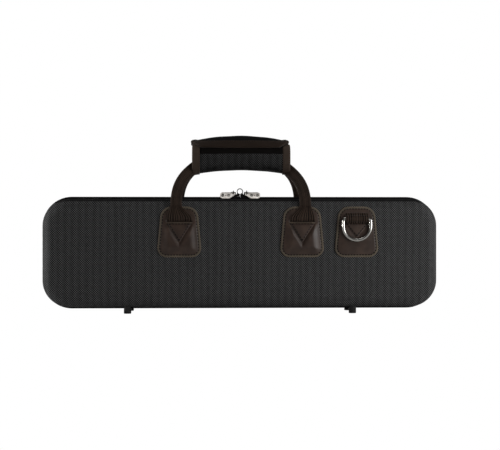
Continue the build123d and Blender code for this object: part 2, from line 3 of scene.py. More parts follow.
import bpy
import numpy as np
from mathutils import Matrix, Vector


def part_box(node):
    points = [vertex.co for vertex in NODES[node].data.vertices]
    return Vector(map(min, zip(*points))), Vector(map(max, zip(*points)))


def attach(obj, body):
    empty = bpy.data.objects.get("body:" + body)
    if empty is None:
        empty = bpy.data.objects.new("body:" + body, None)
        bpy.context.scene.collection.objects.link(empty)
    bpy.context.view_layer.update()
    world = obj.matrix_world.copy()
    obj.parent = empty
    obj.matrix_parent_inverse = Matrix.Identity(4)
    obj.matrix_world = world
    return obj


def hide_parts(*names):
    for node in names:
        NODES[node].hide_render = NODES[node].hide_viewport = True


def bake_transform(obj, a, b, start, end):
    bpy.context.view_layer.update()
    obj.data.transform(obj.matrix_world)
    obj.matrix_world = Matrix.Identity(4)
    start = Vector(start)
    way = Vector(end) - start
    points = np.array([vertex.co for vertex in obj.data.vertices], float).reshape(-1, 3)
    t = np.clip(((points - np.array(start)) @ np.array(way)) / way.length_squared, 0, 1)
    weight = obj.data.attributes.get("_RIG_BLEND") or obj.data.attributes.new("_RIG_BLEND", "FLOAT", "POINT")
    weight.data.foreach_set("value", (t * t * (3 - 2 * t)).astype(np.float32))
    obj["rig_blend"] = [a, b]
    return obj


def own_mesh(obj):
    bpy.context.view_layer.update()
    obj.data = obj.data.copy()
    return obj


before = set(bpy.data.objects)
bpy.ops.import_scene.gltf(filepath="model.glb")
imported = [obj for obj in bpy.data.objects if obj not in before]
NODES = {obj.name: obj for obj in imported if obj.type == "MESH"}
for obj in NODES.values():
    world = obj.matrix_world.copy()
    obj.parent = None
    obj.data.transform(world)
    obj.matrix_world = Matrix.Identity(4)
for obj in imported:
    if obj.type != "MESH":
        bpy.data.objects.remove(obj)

bl_info = {
    "name": "Flute Case",
    "version": (1, 0, 0),
    "blender": (4, 5, 0),
    "location": "View3D > Sidebar > Flute Case",
    "description": "Dresses a zipped flute case with fabric, leather, webbing and metal fittings",
    "category": "Add Mesh",
}

MM = 0.001


# ---- Sizes and colours that a user would change ----
def length(name, description, default):
    """Length property shown in scene units."""
    return bpy.props.FloatProperty(
        name=name, description=description, default=default, min=0.0, unit="LENGTH", precision=5
    )


def colour(name, description, default):
    """Linear colour property."""
    return bpy.props.FloatVectorProperty(
        name=name, description=description, default=default, subtype="COLOR", size=4, min=0.0, max=1.0
    )


def share(name, description, default):
    """Property between nought and one."""
    return bpy.props.FloatProperty(
        name=name, description=description, default=default, min=0.0, max=1.0, subtype="FACTOR"
    )


class FluteCaseCover(bpy.types.PropertyGroup):
    """Nylon cover, piping, tapes and seam stitches."""

    weave_pitch: length("Weave pitch", "Width of one cell of the basket weave", 0.0012)
    # Painted sheen and painted shade: the two yarn colours are one black nylon, lit on the yarns lying over
    # and shaded on the crossing yarns.
    painted_sheen_yarn: colour("Light yarn", "Colour of the yarns that catch the light", (0.139, 0.139, 0.140, 1.0))
    painted_shade_yarn: colour("Dark yarn", "Colour of the crossing yarns", (0.0015, 0.0015, 0.0015, 1.0))
    piping_colour: colour("Piping", "Colour of the piping and tapes", (0.006, 0.006, 0.007, 1.0))
    seam_colour: colour("Seam thread", "Colour of the stitches along the rim", (0.03, 0.03, 0.028, 1.0))
    seam_pitch: length("Seam pitch", "Distance between stitches along the rim", 0.0045)
    seam_offset: length("Seam offset", "Distance of the seam from the piping", 0.0014)


class FluteCaseLeather(bpy.types.PropertyGroup):
    """Leather patches and their stitches."""

    leather_colour: colour("Leather", "Colour of the leather", (0.038, 0.0225, 0.0160, 1.0))
    raw_edge_colour: colour("Raw edge", "Colour of the skived border", (0.098, 0.078, 0.056, 1.0))
    thread_colour: colour("Thread", "Colour of the stitching on the leather", (0.006, 0.003, 0.002, 1.0))
    border_width: length("Border width", "Width of the skived border outside the stitches", 0.0027)
    stitch_length: length("Stitch length", "Length of one stitch", 0.0022)
    stitch_pitch: length("Stitch pitch", "Distance from stitch to stitch", 0.0030)
    edge_round: length("Edge round", "Round of the leather's cut edge", 0.0009)
    puff: length("Puff", "How far the leather swells between its stitches", 0.0011)


class FluteCaseHandle(bpy.types.PropertyGroup):
    """Straps, grip and bindings."""

    webbing_colour: colour("Webbing", "Colour of the cotton webbing", (0.050, 0.0325, 0.0235, 1.0))
    webbing_shadow: colour(
        "Webbing grooves", "Colour between the ribs of the webbing", (0.007, 0.0045, 0.003, 1.0)
    )
    binding_colour: colour("Binding", "Colour of the bindings on the grip's ends", (0.054, 0.038, 0.029, 1.0))
    flap_binding_colour: colour("Flap binding", "Colour of the flap's binding", (0.021, 0.0130, 0.0088, 1.0))
    # Painted shade: the panel binding takes the near-black of the shade it lies in under the flap.
    panel_binding_shade_colour: colour(
        "Panel binding", "Colour of the dark binding under the flap", (0.0016, 0.0007, 0.0003, 1.0)
    )
    grip_pitch: length("Grip weave", "Width of one cell of the grip's weave", 0.0012)
    # Painted sheen and painted shade: the grip's two yarn colours are one black nylon, lit and shaded.
    grip_painted_sheen_yarn: colour("Grip light yarn", "Light yarns of the grip's nylon", (0.084, 0.084, 0.084, 1.0))
    grip_painted_shade_yarn: colour("Grip dark yarn", "Dark yarns of the grip's nylon", (0.0008, 0.0008, 0.0008, 1.0))
    rib_depth: length("Rib depth", "Depth of the ribs woven in the webbing", 0.00022)
    puff: length("Puff", "How far the grip swells between its bindings", 0.0009)
    fill: share("Fill", "How tightly the grip is stuffed", 0.7)


class FluteCaseZip(bpy.types.PropertyGroup):
    """Zip coils, sliders, rings and feet."""

    coil_pitch: length("Coil pitch", "Distance from turn to turn of the zip's coil", 0.00135)
    coil_wire: length("Coil wire", "Thickness of the coil's nylon wire", 0.00042)
    nickel_colour: colour("Nickel", "Colour of the zip pulls", (0.82, 0.78, 0.73, 1.0))
    slider_colour: colour("Slider", "Colour of the zip sliders", (0.05, 0.047, 0.044, 1.0))
    chrome_colour: colour("Chrome", "Colour of the strap rings", (0.60, 0.585, 0.55, 1.0))
    foot_colour: colour("Foot", "Colour of the moulded feet", (0.006, 0.006, 0.006, 1.0))


class FluteCaseInside(bpy.types.PropertyGroup):
    """Lining, tray and lid pad."""

    plush_colour: colour("Plush", "Colour of the plush inside", (0.020, 0.020, 0.024, 1.0))
    pile_scale: length("Pile scale", "Size of the tufts in the plush", 0.0012)
    voxel: length("Voxel", "Mesh size of the stuffed pieces", 0.005)
    swell: length("Swell", "Furthest that stuffing pushes the lid pad out", 0.0022)
    fill: share("Fill", "How tightly the lid pad is stuffed", 0.5)


class FluteCaseStage(bpy.types.PropertyGroup):
    """Floor, lights and camera."""

    floor_colour: colour("Floor", "Colour of the floor", (0.86, 0.86, 0.86, 1.0))
    floor_size: length("Floor size", "Side of the square floor", 40.0)
    focal_length: bpy.props.FloatProperty(
        name="Focal length", description="Camera lens in millimetres", default=80.3, min=10.0
    )
    camera_turn: bpy.props.FloatProperty(
        name="Camera turn", description="Turn of the camera about the vertical",
        default=math.radians(-2.0), subtype="ANGLE",
    )
    camera_place: bpy.props.FloatVectorProperty(
        name="Camera place", description="Where the camera stands",
        default=(-0.031, -1.2, 0.0934), subtype="TRANSLATION",
    )


SETTINGS = {
    "flute_case_cover": FluteCaseCover,
    "flute_case_leather": FluteCaseLeather,
    "flute_case_handle": FluteCaseHandle,
    "flute_case_zip": FluteCaseZip,
    "flute_case_inside": FluteCaseInside,
    "flute_case_stage": FluteCaseStage,
}


# ---- Node helpers ----
def fill_socket(tree, socket, value):
    """Link a socket to another socket, or set its plain value."""
    if isinstance(value, bpy.types.NodeSocket):
        tree.links.new(value, socket)
    else:
        socket.default_value = value


def put(tree, kind, inputs=None, **settings):
    """Add a node with its options, and fill its inputs."""
    node = tree.nodes.new(kind)
    for name, value in settings.items():
        setattr(node, name, value)
    for key, value in (inputs or {}).items():
        fill_socket(tree, node.inputs[key], value)
    return node


class Sums:
    """Math nodes of one tree, called like functions, as in sums.add(first, second)."""

    def __init__(self, tree):
        self.tree = tree

    def __getattr__(self, operation):
        def result(*values):
            node = put(self.tree, "ShaderNodeMath", dict(enumerate(values)), operation=operation.upper())
            return node.outputs[0]
        return result


def give(tree, sockets, **values):
    """Link values to sockets by name; an underscore in a name stands for a space."""
    for name, value in values.items():
        tree.links.new(value, sockets[name.replace("_", " ")])


def blend_colours(tree, factor, first, second, method="MIX"):
    """Result of mixing two colours."""
    mix = put(tree, "ShaderNodeMix", data_type="RGBA", blend_type=method)
    for key, value in (("Factor_Float", factor), ("A_Color", first), ("B_Color", second)):
        socket = next(entry for entry in mix.inputs if entry.identifier == key)
        fill_socket(tree, socket, value)
    return next(entry for entry in mix.outputs if entry.identifier == "Result_Color")


def spread(tree, value, low, high, start=0.0, end=1.0):
    """Value stretched from one range to another."""
    inputs = {"Value": value, "From Min": start, "From Max": end, "To Min": low, "To Max": high}
    return put(tree, "ShaderNodeMapRange", inputs).outputs[0]


def start_group(name, inputs, outputs):
    """New shader node group with its sockets; each input is a name and a default."""
    tree = bpy.data.node_groups.new(name, "ShaderNodeTree")
    for label, default in inputs:
        kind = "NodeSocketColor" if isinstance(default, tuple) else "NodeSocketFloat"
        tree.interface.new_socket(name=label, in_out="INPUT", socket_type=kind).default_value = default
    for label, kind in outputs:
        tree.interface.new_socket(name=label, in_out="OUTPUT", socket_type=kind)
    return tree, tree.nodes.new("NodeGroupInput").outputs, tree.nodes.new("NodeGroupOutput").inputs


def product(tree, first, second):
    """Colour of one thing seen through another."""
    return blend_colours(tree, 1.0, first, second, "MULTIPLY")


def object_point(tree):
    """Coordinates of the surface in the object's own frame, in metres."""
    return put(tree, "ShaderNodeTexCoord").outputs["Object"]


def noise(tree, vector, scale, detail=3.0, roughness=0.5):
    """Noise over the surface, from nought to one."""
    inputs = {"Vector": vector, "Scale": scale, "Detail": detail, "Roughness": roughness}
    return put(tree, "ShaderNodeTexNoise", inputs).outputs["Fac"]


# ---- Effects that several finishes share ----
def weave_cells_group():
    """Basket weave over two flat coordinates that count cells."""
    outputs = [("Height", "NodeSocketFloat"), ("Warp", "NodeSocketFloat")]
    tree, given, result = start_group("Weave cells", [("U", 0.0), ("V", 0.0)], outputs)
    sums = Sums(tree)
    u, v = given["U"], given["V"]
    parity = sums.pingpong(sums.add(sums.floor(u), sums.floor(v)), 1.0)
    arc_u = sums.absolute(sums.sine(sums.multiply(u, math.pi)))
    arc_v = sums.absolute(sums.sine(sums.multiply(v, math.pi)))
    strand_u = sums.absolute(sums.sine(sums.multiply(u, 2 * math.pi)))
    strand_v = sums.absolute(sums.sine(sums.multiply(v, 2 * math.pi)))
    warp = sums.multiply(sums.power(strand_u, 0.5), sums.power(arc_v, 0.6))
    weft = sums.multiply(sums.power(strand_v, 0.5), sums.power(arc_u, 0.6))
    over = sums.multiply(parity, warp)
    under = sums.multiply(sums.subtract(1.0, parity), weft)
    give(tree, result, Height=sums.add(over, under), Warp=parity)
    return tree


BAR_RATE = 850.0             # radians of the cover's upright bars for each metre
BAR_STRENGTH = 0.19
TWILL_STRENGTH = 0.4
TOP_SHADE_FROM, TOP_SHADE_TO = 25.5 * MM, 27.5 * MM       # where painted shade on the upward-facing rounding next to the faces sets in, off the rim
# how far the painted shade on the upward-facing top darkens the weave
TOP_SHADE_STRENGTH = 0.96


def basket_weave_group(cells):
    """Basket weave wrapped round a solid, by the side that each surface faces."""
    inputs = [("Pitch", 0.001), ("Depth", 1.0)]
    inputs += [("Light", (0.05, 0.05, 0.05, 1.0)), ("Dark", (0.01, 0.01, 0.01, 1.0))]
    outputs = [("Color", "NodeSocketColor"), ("Height", "NodeSocketFloat"), ("Wear", "NodeSocketFloat")]
    tree, given, result = start_group("Basket weave", inputs, outputs)
    sums = Sums(tree)
    place = put(tree, "ShaderNodeTexCoord").outputs
    point = put(tree, "ShaderNodeSeparateXYZ", {0: place["Object"]}).outputs
    facing = put(tree, "ShaderNodeSeparateXYZ", {0: place["Normal"]}).outputs
    drift = sums.multiply(noise(tree, place["Object"], 90.0, 2.0), 0.35)
    across = [sums.add(sums.divide(axis, given["Pitch"]), drift) for axis in point]
    weights = [sums.power(sums.absolute(axis), 6.0) for axis in facing]
    total = sums.add(sums.add(weights[0], weights[1]), weights[2])
    height, warp = 0.0, 0.0
    for index, (first, second) in enumerate(((1, 2), (0, 2), (0, 1))):
        cell = put(tree, "ShaderNodeGroup", node_tree=cells)
        tree.links.new(across[first], cell.inputs["U"])
        tree.links.new(across[second], cell.inputs["V"])
        part = sums.divide(weights[index], total)
        height = sums.multiply_add(cell.outputs["Height"], part, height)
        warp = sums.multiply_add(cell.outputs["Warp"], part, warp)
    streak = noise(tree, place["Object"], 340.0, 2.0, 0.7)
    cloud = noise(tree, place["Object"], 22.0, 3.0, 0.6)
    tall = {"Vector": place["Object"], "Scale": (230.0, 230.0, 12.0)}
    hanging = put(tree, "ShaderNodeMapping", tall).outputs[0]
    wander = sums.multiply(noise(tree, hanging, 1.0, 2.0), 5.0)
    bars = sums.sine(sums.multiply_add(point[0], BAR_RATE, wander))
    slant = sums.multiply(sums.add(across[0], across[2]), math.pi)
    twill = sums.multiply_add(sums.cosine(slant), TWILL_STRENGTH, 1.0)
    # Painted shade: upward-facing cover next to the front and rear faces is darkened, for a top that no lamp
    # lights.
    top_shade_zone = spread(tree, sums.absolute(point[1]), 0.0, 1.0, TOP_SHADE_FROM, TOP_SHADE_TO)
    upward = sums.multiply(spread(tree, facing[2], 0.0, TOP_SHADE_STRENGTH, 0.76, 0.84), top_shade_zone)
    unshaded_share = sums.subtract(1.0, upward)
    lift = sums.multiply(sums.multiply(height, twill), spread(tree, streak, 0.5, 1.5))
    barred = sums.multiply_add(bars, BAR_STRENGTH, 1.0)
    lift = sums.multiply(lift, sums.multiply(unshaded_share, barred))
    # Painted sheen and painted shade: yarns lying over take the lit colour, crossing yarns the shaded one,
    # and the colour darkens into the gaps between strands.
    shade = sums.multiply(sums.multiply_add(warp, 0.93, 0.07), lift)
    shade = sums.power(shade, given["Depth"])
    colour_mix = blend_colours(tree, shade, given["Dark"], given["Light"])
    give(tree, result, Color=colour_mix, Height=height, Wear=cloud)
    return tree


def woven_tape_group():
    """Fine ribbed weave of tapes, webbing and bindings."""
    inputs = [("Pitch", 0.0008), ("Yarn", (0.03, 0.02, 0.02, 1.0)), ("Contrast", 0.5)]
    outputs = [("Color", "NodeSocketColor"), ("Height", "NodeSocketFloat")]
    tree, given, result = start_group("Woven tape", inputs, outputs)
    sums = Sums(tree)
    point = put(tree, "ShaderNodeSeparateXYZ", {0: object_point(tree)}).outputs
    rate = sums.divide(2 * math.pi, given["Pitch"])
    slant = sums.add(sums.add(point[0], point[2]), sums.multiply(point[1], 0.7))
    lean = sums.add(sums.subtract(point[2], point[0]), sums.multiply(point[1], 0.7))
    first = sums.sine(sums.multiply(slant, rate))
    second = sums.sine(sums.multiply(lean, rate))
    ribs = spread(tree, sums.multiply(first, second), 0.0, 1.0, -1.0, 1.0)
    fuzz = noise(tree, object_point(tree), 900.0, 3.0, 0.7)
    cloud = noise(tree, object_point(tree), 60.0, 2.0, 0.5)
    height = sums.multiply(sums.add(ribs, fuzz), 0.5)
    mixed = sums.multiply(sums.add(height, cloud), given["Contrast"])
    tone = sums.add(sums.subtract(1.0, given["Contrast"]), mixed)
    dark = product(tree, given["Yarn"], (0.35, 0.33, 0.31, 1.0))
    give(tree, result, Color=blend_colours(tree, tone, dark, given["Yarn"]), Height=height)
    return tree


def leather_grain_group():
    """Pebbled grain, creases and rubbed tone of leather."""
    inputs = [("Colour", (0.03, 0.02, 0.02, 1.0)), ("Worn", (0.06, 0.045, 0.04, 1.0)), ("Grain", 900.0)]
    outputs = [("Color", "NodeSocketColor"), ("Height", "NodeSocketFloat"), ("Roughness", "NodeSocketFloat")]
    tree, given, result = start_group("Leather grain", inputs, outputs)
    sums = Sums(tree)
    point = object_point(tree)
    cells = {"Vector": point, "Scale": given["Grain"]}
    pebble = put(tree, "ShaderNodeTexVoronoi", cells, feature="SMOOTH_F1")
    fine = noise(tree, point, 1600.0, 3.0, 0.6)
    rubbed = noise(tree, point, 75.0, 4.0, 0.55)
    height = sums.add(sums.multiply(pebble.outputs["Distance"], 0.7), sums.multiply(fine, 0.4))
    uneven = sums.add(rubbed, sums.multiply(fine, 0.3))
    tone = spread(tree, rubbed, 0.0, 0.75, 0.42, 0.72)
    colour_mix = blend_colours(tree, tone, given["Colour"], given["Worn"])
    give(tree, result, Color=colour_mix, Height=height, Roughness=spread(tree, uneven, 0.34, 0.56, 0.3, 0.9))
    return tree


def metal_wear_group():
    """Fine scratches, smudges and tarnish of plated metal and moulded plastic."""
    inputs = [("Colour", (0.6, 0.6, 0.6, 1.0)), ("Tarnish", 0.3), ("Smooth", 0.12), ("Rough", 0.3)]
    outputs = [("Color", "NodeSocketColor"), ("Height", "NodeSocketFloat"), ("Roughness", "NodeSocketFloat")]
    tree, given, result = start_group("Metal wear", inputs, outputs)
    sums = Sums(tree)
    point = object_point(tree)
    stretched = put(tree, "ShaderNodeMapping", {"Vector": point, "Scale": (1.0, 5.0, 9.0)}).outputs[0]
    scratch = noise(tree, stretched, 900.0, 4.0, 0.7)
    smudge = noise(tree, point, 260.0, 3.0, 0.6)
    dull = product(tree, given["Colour"], (0.42, 0.38, 0.33, 1.0))
    share_dull = sums.multiply(spread(tree, smudge, 0.0, 1.0, 0.4, 0.75), given["Tarnish"])
    gloss = sums.multiply(sums.add(scratch, smudge), 0.5)
    span = sums.subtract(given["Rough"], given["Smooth"])
    roughness = sums.multiply_add(spread(tree, gloss, 0.0, 1.0, 0.35, 0.65), span, given["Smooth"])
    colour_mix = blend_colours(tree, share_dull, given["Colour"], dull)
    give(tree, result, Color=colour_mix, Height=scratch, Roughness=roughness)
    return tree


def soft_pile_group():
    """Tufts of plush, felt and hook-and-loop tape."""
    inputs = [("Colour", (0.02, 0.02, 0.02, 1.0)), ("Size", 0.001)]
    outputs = [("Color", "NodeSocketColor"), ("Height", "NodeSocketFloat")]
    tree, given, result = start_group("Soft pile", inputs, outputs)
    sums = Sums(tree)
    point = object_point(tree)
    rate = sums.divide(1.0, given["Size"])
    tuft = put(tree, "ShaderNodeTexVoronoi", {"Vector": point, "Scale": rate}).outputs["Distance"]
    fibre = noise(tree, point, sums.multiply(rate, 2.5), 3.0, 0.7)
    brushed = noise(tree, point, 35.0, 3.0, 0.6)
    height = sums.add(sums.subtract(1.0, tuft), sums.multiply(fibre, 0.6))
    bright = product(tree, given["Colour"], (2.2, 2.2, 2.2, 1.0))
    tone = sums.multiply(sums.add(fibre, spread(tree, brushed, 0.0, 1.0, 0.35, 0.65)), 0.5)
    give(tree, result, Color=blend_colours(tree, tone, given["Colour"], bright), Height=height)
    return tree


GROUPS = {}


def effect(tree, name, inputs):
    """Place a shared effect in a material with this material's own values."""
    builders = {
        "Basket weave": lambda: basket_weave_group(weave_cells_group()),
        "Woven tape": woven_tape_group,
        "Leather grain": leather_grain_group,
        "Metal wear": metal_wear_group,
        "Soft pile": soft_pile_group,
    }
    if name not in GROUPS:
        GROUPS[name] = builders[name]()
    node = tree.nodes.new("ShaderNodeGroup")
    node.node_tree = GROUPS[name]
    for key, value in inputs.items():
        node.inputs[key].default_value = value
    return node.outputs


# ---- Finishes ----
FINISHES = {}


def start_finish(name):
    """New material with its tree, its Principled shader and a Bump node that feeds it."""
    material = bpy.data.materials.new(name)
    material.use_nodes = True
    tree = material.node_tree
    shader = tree.nodes["Principled BSDF"]
    bump = put(tree, "ShaderNodeBump")
    tree.links.new(bump.outputs[0], shader.inputs["Normal"])
    FINISHES[name] = material
    return tree, shader, bump


def set_plain(node, **values):
    """Set plain values on a node's sockets; an underscore in a name stands for a space."""
    for key, value in values.items():
        node.inputs[key.replace("_", " ")].default_value = value


def dress_with(name, effect_name, inputs, relief, plain):
    """New finish whose colour and relief come from a shared effect; relief is a strength and a depth."""
    tree, shader, bump = start_finish(name)
    made = effect(tree, effect_name, inputs)
    give(tree, shader.inputs, Base_Color=made["Color"])
    give(tree, bump.inputs, Height=made["Height"])
    set_plain(bump, Strength=relief[0], Distance=relief[1])
    set_plain(shader, **plain)
    return tree, shader, made


def dress_nylon(name, pitch, light, dark, depth=1.0):
    """Ballistic nylon in a basket weave, a little rubbed."""
    inputs = {"Pitch": pitch, "Depth": depth, "Light": light, "Dark": dark}
    plain = {"Specular_IOR_Level": 0.12, "Sheen_Weight": 0.02, "Sheen_Roughness": 0.4}
    tree, shader, weave = dress_with(name, "Basket weave", inputs, (0.55, 0.0002), plain)
    give(tree, shader.inputs, Roughness=spread(tree, weave["Wear"], 0.52, 0.7, 0.3, 0.7))


def dress_woven(name, pitch, yarn, contrast, strength=0.5, roughness=0.82, sheen=0.08):
    """Cotton or polyester tape with a fine weave."""
    inputs = {"Pitch": pitch, "Yarn": yarn, "Contrast": contrast}
    plain = {"Specular_IOR_Level": 0.12, "Sheen_Weight": sheen, "Sheen_Roughness": 0.45}
    tree, shader, tape = dress_with(name, "Woven tape", inputs, (strength, 0.0002), plain)
    give(tree, shader.inputs, Roughness=spread(tree, tape["Height"], roughness, roughness - 0.15))


def dress_leather(name, colour_value, worn, smooth, rough):
    """Satin leather with a pebbled grain."""
    inputs = {"Colour": colour_value, "Worn": worn, "Grain": 850.0}
    plain = {"Specular_IOR_Level": 0.4}
    tree, shader, grain = dress_with(name, "Leather grain", inputs, (0.35, 0.00012), plain)
    give(tree, shader.inputs, Roughness=spread(tree, grain["Roughness"], smooth, rough, 0.34, 0.56))


def dress_metal(name, colour_value, tarnish, smooth, rough, metallic=1.0):
    """Plated metal, or moulded plastic where it isn't metallic."""
    inputs = {"Colour": colour_value, "Tarnish": tarnish, "Smooth": smooth, "Rough": rough}
    tree, shader, wear = dress_with(name, "Metal wear", inputs, (0.03, 0.00005), {"Metallic": metallic})
    give(tree, shader.inputs, Roughness=wear["Roughness"])


def dress_pile(name, colour_value, size, strength, sheen):
    """Plush, or the pile of a closing strip."""
    plain = {"Roughness": 0.95, "Specular_IOR_Level": 0.1, "Sheen_Weight": sheen, "Sheen_Roughness": 0.5}
    dress_with(name, "Soft pile", {"Colour": colour_value, "Size": size}, (strength, 0.0005), plain)


def dress_board():
    """Moulded fibre board of the shells, seen only at its edges."""
    tree, shader, bump = start_finish("shell_board")
    speckle = noise(tree, object_point(tree), 700.0, 4.0, 0.8)
    fibres = blend_colours(tree, speckle, (0.05, 0.045, 0.04, 1.0), (0.14, 0.12, 0.10, 1.0))
    give(tree, shader.inputs, Base_Color=fibres)
    give(tree, bump.inputs, Height=speckle)
    set_plain(bump, Strength=0.4, Distance=0.0002)
    set_plain(shader, Roughness=0.9)


def scaled_colour(factor, given):
    """Colour with its three channels multiplied by one factor."""
    return [factor * channel for channel in given[:3]] + [1.0]


def make_finishes(scene):
    """Build every finish from the panel's colours and sizes."""
    cover, leather, handle = scene.flute_case_cover, scene.flute_case_leather, scene.flute_case_handle
    metal, inside = scene.flute_case_zip, scene.flute_case_inside
    # The nylon finishes' yarn colours carry painted sheen and painted shade.
    dress_nylon("cover_fabric", cover.weave_pitch, cover.painted_sheen_yarn, cover.painted_shade_yarn)
    dress_nylon("grip_fabric", handle.grip_pitch, handle.grip_painted_sheen_yarn, handle.grip_painted_shade_yarn, 1.8)
    # Painted shade: the flap's upward top is the grip's nylon with its lit yarn cut to a twentieth.
    shaded_top_yarn = scaled_colour(0.05, handle.grip_painted_sheen_yarn)
    dress_nylon("flap_fabric", handle.grip_pitch, shaded_top_yarn, handle.grip_painted_shade_yarn)
    dress_woven("piping_fabric", 0.0011, cover.piping_colour, 0.6, sheen=0.0)
    dress_woven("zip_tape_fabric", 0.0009, cover.piping_colour, 0.5, sheen=0.0)
    dress_woven("seam_thread", 0.0006, cover.seam_colour, 0.5)
    dress_metal("zip_coil_nylon", cover.piping_colour, 0.2, 0.3, 0.5, metallic=0.0)
    worn = scaled_colour(2.0, leather.leather_colour)
    dress_leather("patch_leather", leather.leather_colour, worn, 0.34, 0.48)
    raw = scaled_colour(1.5, leather.raw_edge_colour)
    dress_leather("raw_edge", leather.raw_edge_colour, raw, 0.62, 0.85)
    dress_woven("leather_thread", 0.0006, leather.thread_colour, 0.4)
    dress_woven("webbing_cotton", 0.0012, handle.webbing_colour, 0.65, 0.8)
    dress_woven("binding_cotton", 0.0010, handle.binding_colour, 0.6, 0.7)
    # Painted shade between the webbing's ribs.
    dress_woven("webbing_groove_shade", 0.0012, handle.webbing_shadow, 0.5, 0.6, sheen=0.0)
    dress_woven("flap_binding", 0.0010, handle.flap_binding_colour, 0.6, 0.7)
    # Painted shade: the panel binding's colour is the shade under the flap.
    dress_woven("panel_binding", 0.0010, handle.panel_binding_shade_colour, 0.6, 0.6, sheen=0.0)
    dress_woven("binding_thread", 0.0006, handle.webbing_colour, 0.4)
    dress_metal("ring_chrome", metal.chrome_colour, 0.15, 0.14, 0.2)
    dress_metal("slider_metal", metal.slider_colour, 0.3, 0.28, 0.42)
    dress_metal("pull_nickel", metal.nickel_colour, 0.3, 0.3, 0.48)
    # Painted shade: the backs in the tab's windows are the nickel at 0.3 of its brightness, for the shade
    # inside the windows.
    shaded = scaled_colour(0.3, metal.nickel_colour)
    dress_metal("pull_back", shaded, 0.5, 0.25, 0.45)
    dress_metal("screw_steel", (0.45, 0.45, 0.46, 1.0), 0.4, 0.25, 0.45)
    dress_metal("foot_plastic", metal.foot_colour, 0.1, 0.06, 0.12, metallic=0.0)
    dress_pile("plush", inside.plush_colour, inside.pile_scale, 0.8, 0.6)
    dress_pile("hook_and_loop", (0.002, 0.0018, 0.0016, 1.0), 0.0007, 1.0, 0.02)
    dress_board()


# ---- Mesh helpers ----
def show_node(node, finish):
    """Give a carried-over CAD node its finish."""
    for slot in NODES[node].material_slots:
        slot.material = FINISHES[finish]


def add_object(name, points, faces, finish, smooth=True):
    """New object from points in metres and lists of corner numbers."""
    mesh = bpy.data.meshes.new(name)
    corners = [tuple(int(corner) for corner in face) for face in faces]
    mesh.from_pydata(np.asarray(points, float).reshape(-1, 3).tolist(), [], corners)
    mesh.materials.append(FINISHES[finish])
    if smooth:
        mesh.shade_smooth()
    mesh.validate()
    piece = bpy.data.objects.new(name, mesh)
    bpy.context.scene.collection.objects.link(piece)
    return piece


def settle(piece, nodes=(), body=None, padding=None):
    """Hide the CAD nodes that a piece stands for, and hang it on the body it rides on."""
    if nodes:
        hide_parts(*nodes)
    if body:
        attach(piece, body)
    return piece


def ring_faces(count, size):
    """Quads between successive rings of points."""
    here = np.arange(size)
    after = (here + 1) % size
    faces = []
    for ring in range(count - 1):
        low = ring * size
        high = low + size
        faces.append(np.stack([low + here, low + after, high + after, high + here], 1))
    return np.concatenate(faces)


def loft_rings(rings):
    """Points and faces of a skin over rings of points, with closed ends."""
    rings = np.asarray(rings, float)
    count, size, _ = rings.shape
    faces = ring_faces(count, size).tolist()
    faces.append(list(range(size))[::-1])
    faces.append([(count - 1) * size + index for index in range(size)])
    return rings.reshape(-1, 3), faces


def unit(vectors):
    """Vectors scaled to a length of one."""
    vectors = np.asarray(vectors, float)
    return vectors / np.maximum(np.linalg.norm(vectors, axis=-1, keepdims=True), 1e-12)


def spokes_about(side, top, count):
    """Directions evenly round each place, in the plane of its two given directions."""
    angle = np.linspace(0, 2 * math.pi, count, endpoint=False)
    return np.cos(angle)[None, :, None] * side[:, None, :] + np.sin(angle)[None, :, None] * top[:, None, :]


def tube_rings(line, radius, sides, upward):
    """Rings of a round tube along a line; upward hints at each ring's turn."""
    line = np.asarray(line, float)
    ahead = unit(np.gradient(line, axis=0))
    side = unit(np.cross(ahead, upward))
    top = np.cross(side, ahead)
    return line[:, None, :] + spokes_about(side, top, sides) * radius


def resample(line, pitch, closed=False):
    """Points at an even pitch along a line."""
    line = np.asarray(line, float)
    if closed:
        line = np.vstack([line, line[:1]])
    steps = np.r_[0, np.cumsum(np.linalg.norm(np.diff(line, axis=0), axis=1))]
    count = max(2, int(round(steps[-1] / pitch)) + (0 if closed else 1))
    marks = np.linspace(0, steps[-1], count, endpoint=not closed)
    return np.stack([np.interp(marks, steps, line[:, axis]) for axis in range(3)], 1)


STITCH_SHARES = (-0.5, -0.36, 0.0, 0.36, 0.5)
STITCH_WIDTHS = (0.35, 0.85, 1.0, 0.85, 0.35)
STITCH_HEIGHTS = (-0.6, 0.3, 0.7, 0.3, -0.6)
STITCH_SIDES = 6
RIM_THREAD = 0.32 * MM
PATCH_THREAD = 0.46 * MM
GRIP_THREAD = 0.27 * MM


def stitch_row(line, outward, pitch, size, thread, closed=False):
    """Points and faces of a row of stitches; outward is the surface's normal, one or one for each point."""
    line = np.asarray(line, float)
    outward = np.broadcast_to(np.asarray(outward, float), line.shape)
    places = resample(line, pitch, closed)
    nearest = np.argmin(((places[:, None, :] - line[None, :, :]) ** 2).sum(-1), axis=1)
    ups = unit(outward[nearest])
    ahead = np.roll(places, -1, 0) - np.roll(places, 1, 0)
    if not closed:
        ahead[0], ahead[-1] = places[1] - places[0], places[-1] - places[-2]
    ahead = unit(ahead)
    side = unit(np.cross(ahead, ups))
    spokes = spokes_about(side, ups, STITCH_SIDES)
    rings = []
    for along, width, rise in zip(STITCH_SHARES, STITCH_WIDTHS, STITCH_HEIGHTS):
        centre = places + ahead * along * size + ups * rise * thread
        rings.append(centre[:, None, :] + spokes * thread * width)
    return gather([loft_rings(stitch) for stitch in np.stack(rings, 1)])


def gather(parts):
    """Join several lots of points and faces into one."""
    points, faces, count = [], [], 0
    for some_points, some_faces in parts:
        points.append(np.asarray(some_points, float).reshape(-1, 3))
        faces += [[corner + count for corner in face] for face in some_faces]
        count += len(points[-1])
    return np.vstack(points), faces


